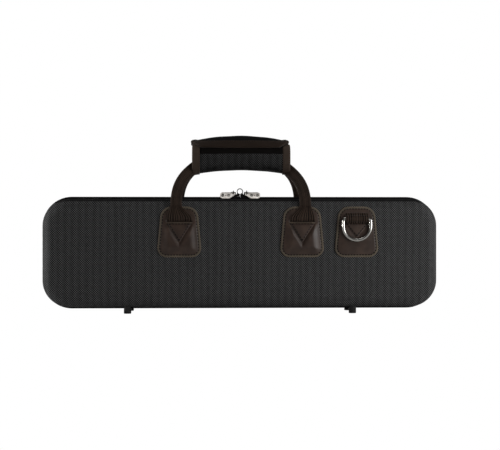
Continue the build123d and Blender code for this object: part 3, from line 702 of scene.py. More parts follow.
def turned(points):
    """The same points on the rear side: turned half round about the vertical."""
    return np.asarray(points, float) * np.array([-1.0, -1.0, 1.0])


SIDES = (("front", "lid", lambda points: np.asarray(points, float)), ("rear", "base", turned))


# ---- Rim: seams, coils and spine tape ----
CORNER_ROUND = 28.2 * MM
PIPING_EDGE = 7.4 * MM
COIL_MIDDLE = (1.6 * MM, 1.4 * MM)
COIL_REACH = (0.58 * MM, 0.40 * MM)
COIL_STEPS = 8               # points in each turn of the coil
ZIP_END_Z = 10.2 * MM
GUARD_INSET = 2.4 * MM
GUARD_SECTION = ((-4.15, -0.25), (0.6, -0.2), (0.75, 0.0), (0.6, 0.2), (-4.15, 0.25))
SPINE_LIFT = 0.9 * MM
SPINE_END_Z = 9.6 * MM
SPINE_HALF = (4.2 * MM, 0.45 * MM)
SPINE_RIB = 0.07 * MM
SPINE_PITCH = 0.6 * MM


def case_path(offset, pitch):
    """Outline of the case moved out by offset, from the middle of the spine, with the outward directions."""
    low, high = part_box("front_shell_cover")
    middle_z = (low.z + high.z) / 2
    reach_x = high.x - CORNER_ROUND
    reach_z = high.z - middle_z - CORNER_ROUND
    radius = CORNER_ROUND + offset
    corners = (
        (reach_x, -reach_z, -90), (reach_x, reach_z, 0), (-reach_x, reach_z, 90), (-reach_x, -reach_z, 180),
    )
    line = [(0.0, 0.0, middle_z - reach_z - radius)]
    for x, z, start in corners:
        for angle in np.radians(np.linspace(start, start + 90, 24)):
            line.append((x + radius * math.cos(angle), 0.0, middle_z + z + radius * math.sin(angle)))
    path = resample(line, pitch, closed=True)
    ahead = unit(np.roll(path, -1, 0) - np.roll(path, 1, 0))
    outward = np.stack([ahead[:, 2], np.zeros(len(path)), -ahead[:, 0]], 1)
    return path, outward


def seam_on_rim(settings):
    """Stitches that hold the piping to the cover of the front half."""
    path, outward = case_path(0.0, 0.002)
    path[:, 1] = -(PIPING_EDGE + settings.seam_offset)
    return stitch_row(path, outward, settings.seam_pitch, 0.68 * settings.seam_pitch, RIM_THREAD, closed=True)


def coil_of_zip(settings):
    """Nylon coil of the front half, wound along its tape from one lower corner to the other."""
    path, outward = case_path(0.0, settings.coil_pitch / COIL_STEPS)
    zipped = path[:, 2] > ZIP_END_Z
    path, outward = path[zipped], outward[zipped]
    angle = np.arange(len(path)) * 2 * math.pi / COIL_STEPS
    off = COIL_MIDDLE[1] + COIL_REACH[1] * np.sin(angle)
    line = path + outward * off[:, None]
    line[:, 1] = -(COIL_MIDDLE[0] + COIL_REACH[0] * np.cos(angle))
    return loft_rings(tube_rings(line, settings.coil_wire / 2, 5, outward))


def zip_guard():
    """Strip inside the lid's rim that closes the slit between the two rows of coil."""
    path, outward = case_path(-GUARD_INSET, 1.5 * MM)
    zipped = path[:, 2] > ZIP_END_Z
    rings = []
    for place, out in zip(path[zipped], outward[zipped]):
        rings.append([place + out * rise * MM + np.array([0, y * MM, 0]) for y, rise in GUARD_SECTION])
    return loft_rings(rings)


def band_of_spine():
    """Woven band along the spine and round its lower corners, ribbed across."""
    path, outward = case_path(SPINE_LIFT, SPINE_PITCH)
    order = np.argsort(path[:, 0])
    low = path[order, 2] < SPINE_END_Z
    path, outward = path[order][low], outward[order][low]
    across = np.linspace(-1, 1, 13)
    rings = []
    for index, (place, out) in enumerate(zip(path, outward)):
        ribbed = SPINE_HALF[1] + SPINE_RIB * math.cos(index * math.pi)
        top = [place + out * ribbed + np.array([0, SPINE_HALF[0] * share_y, 0]) for share_y in across]
        below = place - out * SPINE_HALF[1]
        under = [below + np.array([0, SPINE_HALF[0] * share_y, 0]) for share_y in across[::-1]]
        rings.append(top + under)
    return loft_rings(rings)


# ---- Leather patches ----
PATCH_Z = 86.2 * MM
FACE_Y = 38.0 * MM
HALF_TOP, HALF_BOTTOM, HALF_HEIGHT = 18.75 * MM, 23.75 * MM, 26.5 * MM
TOP_ROUND, BOTTOM_ROUND = 12.0 * MM, 10.0 * MM
LEATHER = 2.0 * MM
SLOT_HALF = (13.3 * MM, 1.3 * MM)
SLOT_RISE = 11.4 * MM
TRIANGLE_TOP = (12.0 * MM, 8.8 * MM)
STITCH_INSET = 2.5 * MM
TRIANGLE_RISE = 0.8 * MM
GROOVE_INSET = 0.9 * MM      # stitch groove inside the triangle's edge
GROOVE_DEPTH, GROOVE_WIDTH = 0.35 * MM, 0.35 * MM
LIP_WIDTH = 0.75 * MM        # raw edge along the underside of the slot
LIP_HEIGHT, LIP_DROP, LIP_SPREAD = 0.8 * MM, 0.7 * MM, 0.55 * MM
SLOT_FLOOR = 0.15 * MM       # height of the cover seen through the slot
SKIVED_BY = 0.4 * MM         # how much thinner the leather's border is
SKIVED_STEP = (1.9 * MM, 3.0 * MM)
SEAM_DEPTH, SEAM_WIDTH = 0.4 * MM, 0.5 * MM
DIP_DEPTH, DIP_WIDTH = 0.4 * MM, 0.7 * MM       # hollow just outside the triangle
SWELLING_FROM_EDGE = (2.6 * MM, 12.0 * MM)
SWELLING_FROM_TRIANGLE = (0.2 * MM, 4.5 * MM)
EDGE_STEPS = 16              # points in each corner round of a patch
GRID_PITCH = 0.55 * MM
PATCHES = (
    ("handle_patch_left", -64.0 * MM, 19.3 * MM, 1.9),
    ("handle_patch_right", 64.0 * MM, 19.3 * MM, 2.0),
    ("ring_patch", 121.0 * MM, 14.4 * MM, 0.35),
)


def ease(value, start, end):
    """Smooth step from nought at start to one at end."""
    share_way = np.clip((value - start) / (end - start), 0.0, 1.0)
    return share_way * share_way * (3 - 2 * share_way)


def corner_centres():
    """Centres of the upper and the lower corner rounds, and the lean of the patch's sides."""
    lean = math.atan2(HALF_BOTTOM - HALF_TOP, 2 * HALF_HEIGHT)
    centres = []
    for radius, z in ((TOP_ROUND, HALF_HEIGHT - TOP_ROUND), (BOTTOM_ROUND, BOTTOM_ROUND - HALF_HEIGHT)):
        side = HALF_BOTTOM - (HALF_BOTTOM - HALF_TOP) * (z + HALF_HEIGHT) / (2 * HALF_HEIGHT)
        centres.append((side - radius / math.cos(lean), z))
    return centres[0], centres[1], lean


def patch_edge(inset):
    """Right half of the patch's outline, moved in by inset, from the bottom up."""
    top, bottom, lean = corner_centres()
    line = []
    rounds = ((bottom, BOTTOM_ROUND, -math.pi / 2, lean), (top, TOP_ROUND, lean, math.pi / 2))
    for centre, radius, start, end in rounds:
        for angle in np.linspace(start, end, EDGE_STEPS):
            out = (radius - inset) * np.array([math.cos(angle), math.sin(angle)])
            line.append(np.array(centre) + out)
    return np.array(line)


def whole_edge(inset):
    """The patch's whole outline, moved in by inset, closed."""
    right = patch_edge(inset)
    return np.vstack([right, right[::-1] * np.array([-1.0, 1.0])])


def distance_to_loop(x, z, loop):
    """Distance of each point from a closed line."""
    after = np.roll(loop, -1, 0)
    best = np.full(x.shape, 1.0)
    for first, second in zip(loop, after):
        run = second - first
        off_x, off_z = x - first[0], z - first[1]
        share_run = np.clip((off_x * run[0] + off_z * run[1]) / max(run @ run, 1e-12), 0, 1)
        best = np.minimum(best, np.hypot(off_x - share_run * run[0], off_z - share_run * run[1]))
    return best


def patch_grid():
    """Grid over the patch that follows its outline and the slot's edges."""
    edge = patch_edge(0.0)
    rows = np.concatenate([edge[:, 1], np.arange(-HALF_HEIGHT, HALF_HEIGHT, GRID_PITCH)])
    for line in (SLOT_RISE - SLOT_HALF[1], SLOT_RISE + SLOT_HALF[1]):
        rows = np.concatenate([rows[np.abs(rows - line) > 0.25 * MM], [line - 0.1 * MM, line + 0.1 * MM]])
    rows = np.unique(np.round(rows, 6))
    rows = rows[np.r_[True, np.diff(rows) > 0.07 * MM]]
    rows[0], rows[-1] = -HALF_HEIGHT, HALF_HEIGHT
    reach = np.interp(rows, edge[:, 1], edge[:, 0])
    slot_share = SLOT_HALF[0] / np.interp(SLOT_RISE, edge[:, 1], edge[:, 0])
    shares = np.sin(np.linspace(0, math.pi / 2, 44))
    shares = shares[np.abs(shares - slot_share) > 0.01]
    shares = np.sort(np.concatenate([shares, [slot_share - 0.004, slot_share + 0.004]]))
    shares = np.concatenate([-shares[:0:-1], shares])
    return reach[:, None] * shares[None, :], np.repeat(rows[:, None], len(shares), 1)


def triangle_inside(x, z, height):
    """How far each point lies inside the stitched triangle."""
    half, top = TRIANGLE_TOP
    slope = math.hypot(half, height)
    sides = (height * (half - np.abs(x)) - half * (top - z)) / slope
    return np.minimum(sides, top - z)


def bell(distance, place, width):
    """Profile across a groove or a ridge: one at its middle, fading out on both sides."""
    return np.exp(-(((distance - place) / width) ** 2))


def leather_height(x, z, triangle_height, plump, settings):
    """Height of the leather's face above the cover, and each point's distance from the edge.

    Plump scales how far the leather swells between its stitches.
    """
    inset = distance_to_loop(x, z, whole_edge(0.0))
    edge = settings.edge_round
    drop = edge - np.sqrt(np.maximum(edge ** 2 - np.maximum(edge - inset, 0) ** 2, 0))
    height = LEATHER - drop - SKIVED_BY * (1 - ease(inset, *SKIVED_STEP))
    height -= SEAM_DEPTH * bell(inset, STITCH_INSET, SEAM_WIDTH)
    below_slot = ease(SLOT_RISE - SLOT_HALF[1] - z, 0.0, 1.5 * MM)
    swell = ease(inset, *SWELLING_FROM_EDGE) * (0.25 + 0.75 * below_slot)
    inside = triangle_inside(x, z, triangle_height)
    beside = ease(-inside, *SWELLING_FROM_TRIANGLE) * below_slot
    height += settings.puff * plump * swell * (0.45 + 0.55 * beside)
    height += TRIANGLE_RISE * ease(inside, -0.5 * MM, 0.9 * MM)
    height -= DIP_DEPTH * plump * bell(inside, -DIP_WIDTH, DIP_WIDTH) * below_slot
    height -= GROOVE_DEPTH * bell(inside, GROOVE_INSET, GROOVE_WIDTH)
    lip = bell(z, SLOT_RISE - SLOT_HALF[1] - LIP_DROP, LIP_SPREAD)
    height += LIP_HEIGHT * lip * ease(SLOT_HALF[0] + 0.6 * MM - np.abs(x), 0, 1.2 * MM)
    in_slot = (np.abs(x) < SLOT_HALF[0]) & (np.abs(z - SLOT_RISE) < SLOT_HALF[1])
    return np.where(in_slot, SLOT_FLOOR, height), inset


def leather_patch(name, x_middle, triangle_height, plump, place, settings):
    """One leather patch with its skived border, slot and triangle."""
    x, z = patch_grid()
    height, inset = leather_height(x, z, triangle_height, plump, settings)
    rows, columns = x.shape
    points = np.stack([x + x_middle, -(FACE_Y + height), z + PATCH_Z], -1).reshape(-1, 3)
    index = np.arange(rows * columns).reshape(rows, columns)
    faces = np.stack([index[:-1, :-1], index[:-1, 1:], index[1:, 1:], index[1:, :-1]], -1).reshape(-1, 4)
    border = inset.reshape(-1)[faces].mean(1) < settings.border_width
    under_slot = SLOT_RISE - SLOT_HALF[1] - z.reshape(-1)[faces].mean(1)
    beside_slot = np.abs(x.reshape(-1)[faces].mean(1))
    border |= (beside_slot < SLOT_HALF[0]) & (under_slot > 0) & (under_slot < LIP_WIDTH)
    rim = np.concatenate([index[0, :], index[1:, -1], index[-1, -2::-1], index[-2:0:-1, 0]])
    wall = points[rim].copy()
    wall[:, 1] = -(FACE_Y + 0.02 * MM)
    first = len(points)
    lower = first + np.arange(len(rim))
    skirt = np.stack([rim, lower, np.roll(lower, -1), np.roll(rim, -1)], 1)
    faces_of_all = np.vstack([faces, skirt]).tolist()
    piece = add_object(name, place(np.vstack([points, wall])), faces_of_all, "patch_leather")
    piece.data.materials.append(FINISHES["raw_edge"])
    flags = np.concatenate([border, np.ones(len(skirt), bool)]).astype(np.int32)
    piece.data.polygons.foreach_set("material_index", flags)
    return piece


def patch_stitches(x_middle, triangle_height, plump, settings):
    """Stitches round a patch, down its triangle and under its slot."""
    def row(line, closed=False):
        flat = np.asarray(line, float)
        height, _ = leather_height(flat[:, 0], flat[:, 1], triangle_height, plump, settings)
        lifted = np.stack([flat[:, 0] + x_middle, -(FACE_Y + height + 0.2 * MM), flat[:, 1] + PATCH_Z], 1)
        pitch, size = settings.stitch_pitch, settings.stitch_length
        return stitch_row(lifted, (0, -1, 0), pitch, size, PATCH_THREAD, closed)

    half, top = TRIANGLE_TOP
    inner = GROOVE_INSET
    slope = math.hypot(half, triangle_height)
    foot = top - triangle_height + inner * slope / half
    corner = half - inner * (slope + half) / triangle_height
    side = np.linspace((corner, top - inner), (0.4 * MM, foot + 0.6 * MM), 40)
    ledge = np.linspace((-half, top - 0.5 * MM), (half, top - 0.5 * MM), 60)
    other_side = side * np.array([-1.0, 1.0])
    return gather([row(whole_edge(STITCH_INSET), True), row(side), row(other_side), row(ledge)])


# ---- Webbing: handle straps with their roots, and ring loops ----
NECK = (67.3 * MM, -39.75 * MM, 114.1 * MM)
ENTRY = (50.0 * MM, -6.0 * MM, 154.2 * MM)
MIDDLE = (0.0, -3.0 * MM, 168.2 * MM)
ENTRY_HEADING = (-1.2, 0.4, 1.0)
STRAP_HALF = (6.0 * MM, 2.25 * MM)
FOLD_LINE_Z = 113.95 * MM
RIBS = 10
WEB_COLUMNS = 52             # points across each face of the webbing
WEB_RING = 2 * WEB_COLUMNS - 2


def bezier(first, second, third, last, count):
    """Points and directions along a Bezier curve."""
    ends = [np.array(point, float) for point in (first, second, third, last)]
    t = np.linspace(0, 1, count)[:, None]
    weights = ((1 - t) ** 3, 3 * t * (1 - t) ** 2, 3 * t ** 2 * (1 - t), t ** 3)
    line = sum(weight * end for weight, end in zip(weights, ends))
    return line, unit(np.gradient(line, axis=0))


def webbing_ring(centre, wide, thick, half_width, half_thickness, rib_depth):
    """Ring of points round a strip of webbing with ribs along it."""
    across = np.sin(np.linspace(-math.pi / 2, math.pi / 2, WEB_COLUMNS))
    swell = np.sqrt(np.maximum(1 - np.abs(across) ** 6, 0))
    depth = min(rib_depth, 0.36 * half_thickness)
    ribs = depth * (np.cos(across * RIBS * math.pi) - 1) * ease(1 - np.abs(across), 0.0, 0.2)
    face = half_thickness * swell + ribs
    front = centre + np.outer(across * half_width, wide) + np.outer(face, thick)
    back = centre + np.outer(across[::-1] * half_width, wide) - np.outer(face[::-1], thick)
    return np.vstack([front, back[1:-1]])


def darken_grooves(piece, rings):
    """Give the grooves between the ribs of a lofted webbing skin a darker finish, as painted shade between
    the ribs.
    """
    piece.data.materials.append(FINISHES["webbing_groove_shade"])
    across = np.sin(np.linspace(-math.pi / 2, math.pi / 2, WEB_COLUMNS))
    middle = (across[1:] + across[:-1]) / 2
    groove = (np.cos(middle * RIBS * math.pi) < -0.45) & (np.abs(middle) < 0.93)
    ring = np.concatenate([groove, [False], groove[::-1][1:], [False]])[:WEB_RING]
    flags = np.tile(ring, rings - 1)
    flags = np.concatenate([flags, np.zeros(len(piece.data.polygons) - len(flags), bool)])
    piece.data.polygons.foreach_set("material_index", flags.astype(np.int32))


# Gathered root of a strap, in mm: rise above the slot, place in depth, half its width, half its thickness
STRAP_ROOT = (
    (-0.4, -38.9, 12.9, 0.8), (0.3, -39.6, 13.0, 0.9), (0.9, -40.3, 13.0, 1.0), (1.8, -40.9, 13.0, 1.0),
    (3.4, -41.0, 12.9, 1.0), (5.0, -41.05, 12.4, 1.05), (7.0, -41.1, 11.2, 1.1), (9.0, -41.1, 9.8, 1.15),
    (11.0, -41.1, 8.3, 1.2), (13.0, -41.05, 7.0, 1.3), (14.6, -40.7, 6.3, 1.6), (15.9, -40.1, 6.05, 2.1),
)
ENTRY_PULL = 15 * MM


def strap_half(settings):
    """Rings of the right half of the front strap, from its slot to the grip's middle."""
    rings = []
    x = PATCHES[1][1]
    slot_z = PATCH_Z + SLOT_RISE
    for rise, y, half_width, half_thickness in STRAP_ROOT:
        lean = (NECK[0] - x) * ease(np.array(rise), 2.0, 16.0)
        centre = np.array([x + float(lean), y * MM, slot_z + rise * MM])
        depth = settings.rib_depth * (1.6 + 0.8 * float(ease(np.array(rise), 3.0, 10.0)))
        rings.append(webbing_ring(centre, (1, 0, 0), (0, -1, 0), half_width * MM, half_thickness * MM, depth))
    heading = np.array(ENTRY_HEADING) / np.linalg.norm(ENTRY_HEADING)
    neck, entry, middle = (np.array(point) for point in (NECK, ENTRY, MIDDLE))
    outside = bezier(neck, neck + (0, 0, 20 * MM), entry - heading * ENTRY_PULL, entry, 26)
    inside = bezier(entry, entry + heading * ENTRY_PULL, middle + np.array((18 * MM, 0, 0)), middle, 14)
    for line, ahead in (outside, inside):
        for place, along in list(zip(line, ahead))[1 if line is inside[0] else 0:]:
            wide = unit(np.cross((0, 1, 0), along))
            thick = unit(np.cross(wide, along))
            rings.append(webbing_ring(place, wide, thick, *STRAP_HALF, settings.rib_depth))
    return np.array(rings)


def whole_strap(settings):
    """Skin of the front strap with both its roots."""
    half = strap_half(settings)
    other = half[::-1] * np.array([-1.0, 1.0, 1.0])
    return loft_rings(np.concatenate([half, other[1:]]))


RING_BAR = (-42.4 * MM, 100.0 * MM)
LOOP_TURN = 2.95 * MM        # radius of the loop's middle round the bar
LOOP_LEG = ((-39.7 * MM, 5.6 * MM), (-40.75 * MM, 4.4 * MM), (-41.6 * MM, 3.4 * MM))
LOOP_HALF = 0.75 * MM        # half the loop's thickness


def ring_loop_band(settings):
    """Webbing that wraps the strap ring's bar and is sewn to its patch."""
    low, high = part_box("front_ring_loop")
    bar_y, bar_z = RING_BAR
    line = [(y, bar_z + z) for y, z in LOOP_LEG]
    for angle in np.radians(np.linspace(70, -70, 13)):
        line.append((bar_y - LOOP_TURN * math.cos(angle), bar_z + LOOP_TURN * math.sin(angle)))
    line += [(y, bar_z - z) for y, z in LOOP_LEG[::-1]]
    x = (low.x + high.x) / 2
    path = resample([(x, y, z) for y, z in line], 0.6 * MM)
    ahead = unit(np.gradient(path, axis=0))
    rings = []
    for place, along in zip(path, ahead):
        out = unit(np.cross((1, 0, 0), along)) * -1.0
        rings.append(webbing_ring(place, (1, 0, 0), out, (high.x - low.x) / 2, LOOP_HALF, settings.rib_depth))
    return loft_rings(rings)


# ---- Grip ----
GRIP_HALF = 52.1 * MM
GRIP_Z = 170.8 * MM
ARCH = 267.72 * MM
WRAP_HALF = (13.5 * MM, 16.3 * MM)
WRAP_ROUND = 12.0 * MM
WRAP_SINK = 1.7 * MM
WALL = 3.5 * MM
FLAP_BACK = -8.0 * MM
LANDING = -24.0 * MM
FLAP_EDGE_RISE = 4.6 * MM
PANEL_START_RISE = 7.8 * MM
PANEL_BINDING_RISE = -1.6 * MM
BINDING = 8.4 * MM
FLAP_BINDING = 6.6 * MM
WRAP_SHIFT = np.array([1.2 * MM, 0.0, 0.0])
PAD_STEPS, PANEL_STEPS, FLAP_STEPS = (70, 56), (70, 48), (70, 40)
SEAM_UNDER = 49.3 * MM
REAR_BINDING = -13.3 * MM
FRONT_BINDING = 7.0 * MM
FLAP_LIFT, FLAP_HEIGHT = 0.55 * MM, 3.0 * MM    # underside and top of the flap, off the wrap
FLAP_BINDING_HEIGHT = 3.95 * MM
PAD_EDGE, FLAP_ROUND, BINDING_EDGE, END_EDGE = 1.2 * MM, 1.5 * MM, 0.8 * MM, 1.3 * MM
END_LOW, END_STEP = 0.3 * MM, 0.85 * MM         # end binding: height at the flap, and how much it climbs
FOLD_HEIGHT = 0.16 * MM
FOLD_RATES = (210, 160, 120)                    # along the grip, and twice round it


def wrap_section(around):
    """Place and outward direction on the wrap's section, by the distance forward from its top."""
    flat_y, flat_z = WRAP_HALF[0] - WRAP_ROUND, WRAP_HALF[1] - WRAP_ROUND
    quarter = WRAP_ROUND * math.pi / 2
    s = np.abs(around)
    marks = np.cumsum([flat_y, quarter, 2 * flat_z, quarter])
    first = np.clip((s - marks[0]) / WRAP_ROUND, 0, math.pi / 2)
    second = np.clip((s - marks[2]) / WRAP_ROUND, 0, math.pi / 2)
    turn = first + second
    y = np.minimum(s, flat_y) + WRAP_ROUND * np.sin(turn) - np.clip(s - marks[3], 0, None)
    z = flat_z + WRAP_ROUND * np.cos(turn) - np.clip(s - marks[1], 0, 2 * flat_z)
    return -np.sign(around) * y, z - WRAP_SINK, -np.sign(around) * np.sin(turn), np.cos(turn)


def grip_drop(along):
    """How far the arched grip has come down at a place along it."""
    return ARCH - np.sqrt(ARCH ** 2 - np.asarray(along) ** 2)


def level(rise):
    """Distance round the section, forward, where the wrap is at a level height above the grip's middle."""
    def reach(along):
        high = rise + grip_drop(along) + WRAP_SINK
        flat_z = WRAP_HALF[1] - WRAP_ROUND
        turn = np.arccos(np.clip((high - flat_z) / WRAP_ROUND, 0.0, 1.0))
        return WRAP_HALF[0] - WRAP_ROUND + WRAP_ROUND * turn + np.clip(flat_z - high, 0.0, None)
    return reach


def flap_edge(further=0.0):
    """Distance round the section of the flap's front edge, which climbs at its two ends."""
    def reach(along):
        climb = 4.2 * MM * ease(np.abs(along), 40.0 * MM, GRIP_HALF)
        return level(FLAP_EDGE_RISE + climb)(along) + further
    return reach


def on_grip(along, around, height):
    """Points on the arched grip: along it, round its wrap, and off its surface."""
    y, z, out_y, out_z = wrap_section(around)
    return np.stack([along, y + out_y * height, GRIP_Z - grip_drop(along) + z + out_z * height], -1)


def grip_slab(along, around, low, high, edge, steps):
    """Soft slab on the grip with rounded edges; around's limits, low and high are numbers or functions."""
    def value(given, *place):
        return given(*place) if callable(given) else np.full(np.shape(place[0]), float(given))

    xs = np.linspace(*along, steps[0])
    starts, ends = value(around[0], xs), value(around[1], xs)
    way = np.linspace(0.0, 1.0, steps[1])
    grid_x = np.repeat(xs[:, None], steps[1], 1)
    grid_s = starts[:, None] + (ends - starts)[:, None] * way[None, :]
    reach_x = np.minimum(grid_x - along[0], along[1] - grid_x)
    reach_s = np.minimum(grid_s - starts[:, None], ends[:, None] - grid_s)

    def rounding(reach):
        return np.sqrt(1 - (1 - np.clip(reach / edge, 0.0, 1.0)) ** 2)

    swell = 0.06 + 0.94 * rounding(reach_x) * rounding(reach_s)
    top, base = value(high, grid_x, grid_s), value(low, grid_x, grid_s)
    middle = (top + base) / 2
    upper = on_grip(grid_x, grid_s, middle + (top - middle) * swell)
    lower = on_grip(grid_x, grid_s, middle - (middle - base) * swell)
    return loft_rings(np.concatenate([upper, lower[:, ::-1, :]], axis=1))


def crown(along, around, settings, limits):
    """Swelling of the stuffed cloth between its bindings, with faint folds."""
    mid = (limits[0] + limits[1]) / 2
    half = (limits[1] - limits[0]) / 2
    length_way = np.clip(1 - (along / (GRIP_HALF - BINDING * 0.6)) ** 2, 0, 1) ** 0.5
    width_way = np.clip(1 - ((around - mid) / half) ** 2, 0, 1) ** 0.5
    along_rate, bend_rate, round_rate = FOLD_RATES
    wave = np.sin(along * along_rate + 2.2 * np.sin(around * bend_rate))
    folds = FOLD_HEIGHT * wave * np.sin(around * round_rate + 1.0)
    return settings.puff * length_way * width_way + folds * length_way * width_way


def grip_pieces(settings):
    """Points and faces of each padded or bound part of the grip, by name."""
    under = (14.0 * MM, SEAM_UNDER + 1.2 * MM)
    behind = (-SEAM_UNDER, LANDING)

    def panel_top(along, around):
        sunk = -0.5 * MM * (1 - ease(around - flap_edge()(along), 0.0, 1.5 * MM))
        return sunk + crown(along, around, settings, under)

    def pad_top(along, around):
        sunk = -0.2 * MM * ease(around, -12.0 * MM, -10.0 * MM)
        return sunk + crown(along, around, settings, behind)

    def flap_top(along, around):
        return FLAP_HEIGHT + crown(along, around, settings, (FLAP_BACK, 19.0 * MM))

    def binding_top(along, around):
        return 0.8 * MM + 0.8 * crown(along, around, settings, under)

    def end_top(along, around):
        return END_LOW + END_STEP * ease(around - flap_edge()(along), 0.1 * MM, 0.9 * MM)

    def rear_end_top(along, around):
        return END_LOW + END_STEP * ease(LANDING - around, 0.0, 4.0 * MM)

    def front_low(along, around):
        return np.where(around > flap_edge()(along) - 1.0 * MM, 0.35 * MM, 2.6 * MM)

    whole = (-GRIP_HALF + 1.0 * MM, GRIP_HALF - 1.0 * MM)
    front, over = (level(PANEL_START_RISE), SEAM_UNDER), (FLAP_BACK, flap_edge())
    ends = (-GRIP_HALF, GRIP_HALF)
    pieces = {
        "grip_pad": grip_slab(whole, (-SEAM_UNDER, 0.0), -WALL, pad_top, PAD_EDGE, PAD_STEPS),
        "grip_front_panel": grip_slab(whole, front, -WALL, panel_top, PAD_EDGE, PANEL_STEPS),
        "grip_flap": grip_slab(ends, over, FLAP_LIFT, flap_top, FLAP_ROUND, FLAP_STEPS),
    }
    edge, high = BINDING_EDGE, FLAP_BINDING_HEIGHT
    ear = GRIP_HALF + 0.5 * MM
    front = (flap_edge(-FLAP_BINDING), flap_edge(0.5 * MM))
    bands = [grip_slab((-ear, ear), front, front_low, high, edge, (90, 14))]
    for side in (-1, 1):
        ends = sorted((side * (GRIP_HALF - 5.6 * MM), side * ear))
        around = (FLAP_BACK - 0.3 * MM, flap_edge(-0.3 * MM))
        bands.append(grip_slab(ends, around, 0.45 * MM, high - 0.15 * MM, edge, (14, 44)))
    pieces["flap_binding"] = gather(bands)
    inner = GRIP_HALF - BINDING
    band = (flap_edge(0.2 * MM), level(PANEL_BINDING_RISE))
    reach = (-inner - 0.6 * MM, inner + 0.6 * MM)
    pieces["panel_binding"] = grip_slab(reach, band, -0.2 * MM, binding_top, edge, (64, 12))
    halves = (
        ("front", (FRONT_BINDING, SEAM_UNDER), end_top),
        ("rear", (-SEAM_UNDER, REAR_BINDING), rear_end_top),
    )
    for name, around, top in halves:
        bands = []
        for side in (-1, 1):
            ends = sorted((side * (inner + 0.1 * MM), side * (GRIP_HALF + 0.4 * MM)))
            bands.append(grip_slab(ends, around, -WALL - 0.1 * MM, top, END_EDGE, (18, 64)))
        pieces[f"end_binding_{name}"] = gather(bands)
    for name in ("grip_pad", "grip_front_panel", "panel_binding", "end_binding_front", "end_binding_rear"):
        points, faces = pieces[name]
        pieces[name] = (points + WRAP_SHIFT, faces)
    return pieces


def grip_stitches(side_name):
    """Stitch rows on the bindings of the flap, or of the wrap."""
    rows = []
    if side_name == "flap":
        xs = np.linspace(-GRIP_HALF + 1.5 * MM, GRIP_HALF - 1.5 * MM, 90)
        edge = flap_edge(1.0 * MM - FLAP_BINDING)(xs)
        line = on_grip(xs, edge, np.full(90, 4.0 * MM))
        rows.append((line, line - on_grip(xs, edge, np.full(90, 3.0 * MM))))
        spans, height, inner = (FLAP_BACK + 0.8 * MM, edge[-1] - 0.5 * MM), 3.85 * MM, GRIP_HALF - 5.6 * MM
    else:
        spans = (22.4 * MM, SEAM_UNDER - 1.0 * MM)
        if side_name == "rear":
            spans = (-SEAM_UNDER + 1.0 * MM, LANDING - 4.0 * MM)
        height, inner = 1.2 * MM, GRIP_HALF - BINDING
    for side in (-1, 1):
        xs = np.full(60, side * (inner + 1.2 * MM))
        around = np.linspace(*spans, 60)
        line = on_grip(xs, around, np.full(60, height))
        out = line - on_grip(xs, around, np.full(60, height - 1.0 * MM))
        rows.append((line if side_name == "flap" else line + WRAP_SHIFT, out))
    return gather([stitch_row(line, out, 2.6 * MM, 1.9 * MM, GRIP_THREAD) for line, out in rows])


# ---- Zip pulls: hoods of the sliders and backs of the tabs ----
TAB_MIDDLE_X = 15.4 * MM
# Sections of a slider's hood, in mm: place along the slider, and rise there
HOOD_SECTIONS = (
    (0.12, 0.5), (0.25, 1.4), (0.7, 2.0), (1.6, 2.3), (3.0, 2.4), (3.9, 2.2),
    (4.8, 1.6), (8.0, 1.5), (10.6, 1.3), (11.8, 0.9), (12.2, 0.2),
)
TAB_TILT = math.radians(52.0)
WINDOW_HALF = (1.95 * MM, 2.45 * MM)
WINDOW_APART = 3.1 * MM
BACK_SECTION = ((0.05, -0.22), (0.75, -0.2), (1.0, -0.1), (1.0, 0.1), (0.75, 0.2), (0.05, 0.22))


def slider_hood(hand):
    """Rounded hood over a slider's nose, under its lock eyelet; hand is 1 on the right and -1 on the left."""
    _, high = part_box("slider_right")
    plate = high.z - 8.5 * MM
    angle = np.linspace(0, 2 * math.pi, 24, endpoint=False)
    rings = []
    for x, rise in HOOD_SECTIONS:
        across = np.sign(np.cos(angle)) * np.abs(np.cos(angle)) ** 0.6 * (2.2 * MM + 0.3 * rise * MM)
        upward = np.sign(np.sin(angle)) * np.abs(np.sin(angle)) ** 0.6 * rise * MM
        rings.append(np.stack([np.full(24, hand * x * MM), hand * across, plate + upward], 1))
    return loft_rings(rings)


def tab_backs(hand):
    """Sunk oval backs in the two windows of a pull tab, in a darker nickel as painted shade."""
    low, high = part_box("pull_tab_right")
    up = np.array([0.0, math.cos(TAB_TILT), math.sin(TAB_TILT)])
    middle = np.array([TAB_MIDDLE_X, (high.y + low.y) / 2, (high.z + low.z) / 2])
    normal = np.cross((1.0, 0.0, 0.0), up)
    angle = np.linspace(0, 2 * math.pi, 28, endpoint=False)
    parts = []
    for offset, size in ((-WINDOW_APART, 1.0), (0.0, 0.42), (WINDOW_APART, 1.0)):
        rings = []
        for share_out, depth in BACK_SECTION:
            flat_x = WINDOW_HALF[0] * size * share_out * np.cos(angle) + offset
            flat_up = WINDOW_HALF[1] * size * share_out * np.sin(angle)
            ring = middle + np.outer(flat_x, (1.0, 0, 0)) + np.outer(flat_up, up) + normal * depth * MM
            rings.append(ring * np.array([hand, 1.0, 1.0]))
        parts.append(loft_rings(rings))
    return gather(parts)


# ---- Stuffed and plush pieces ----
def copy_of_node(node, name, finish):
    """A separate copy of a CAD node's mesh to be softened."""
    piece = bpy.data.objects.new(name, NODES[node].data.copy())
    bpy.context.scene.collection.objects.link(piece)
    piece.data.materials.clear()
    piece.data.materials.append(FINISHES[finish])
    for key in [key for key in piece.data.attributes.keys() if key.startswith("_FK")]:
        piece.data.attributes.remove(piece.data.attributes[key])
    return piece


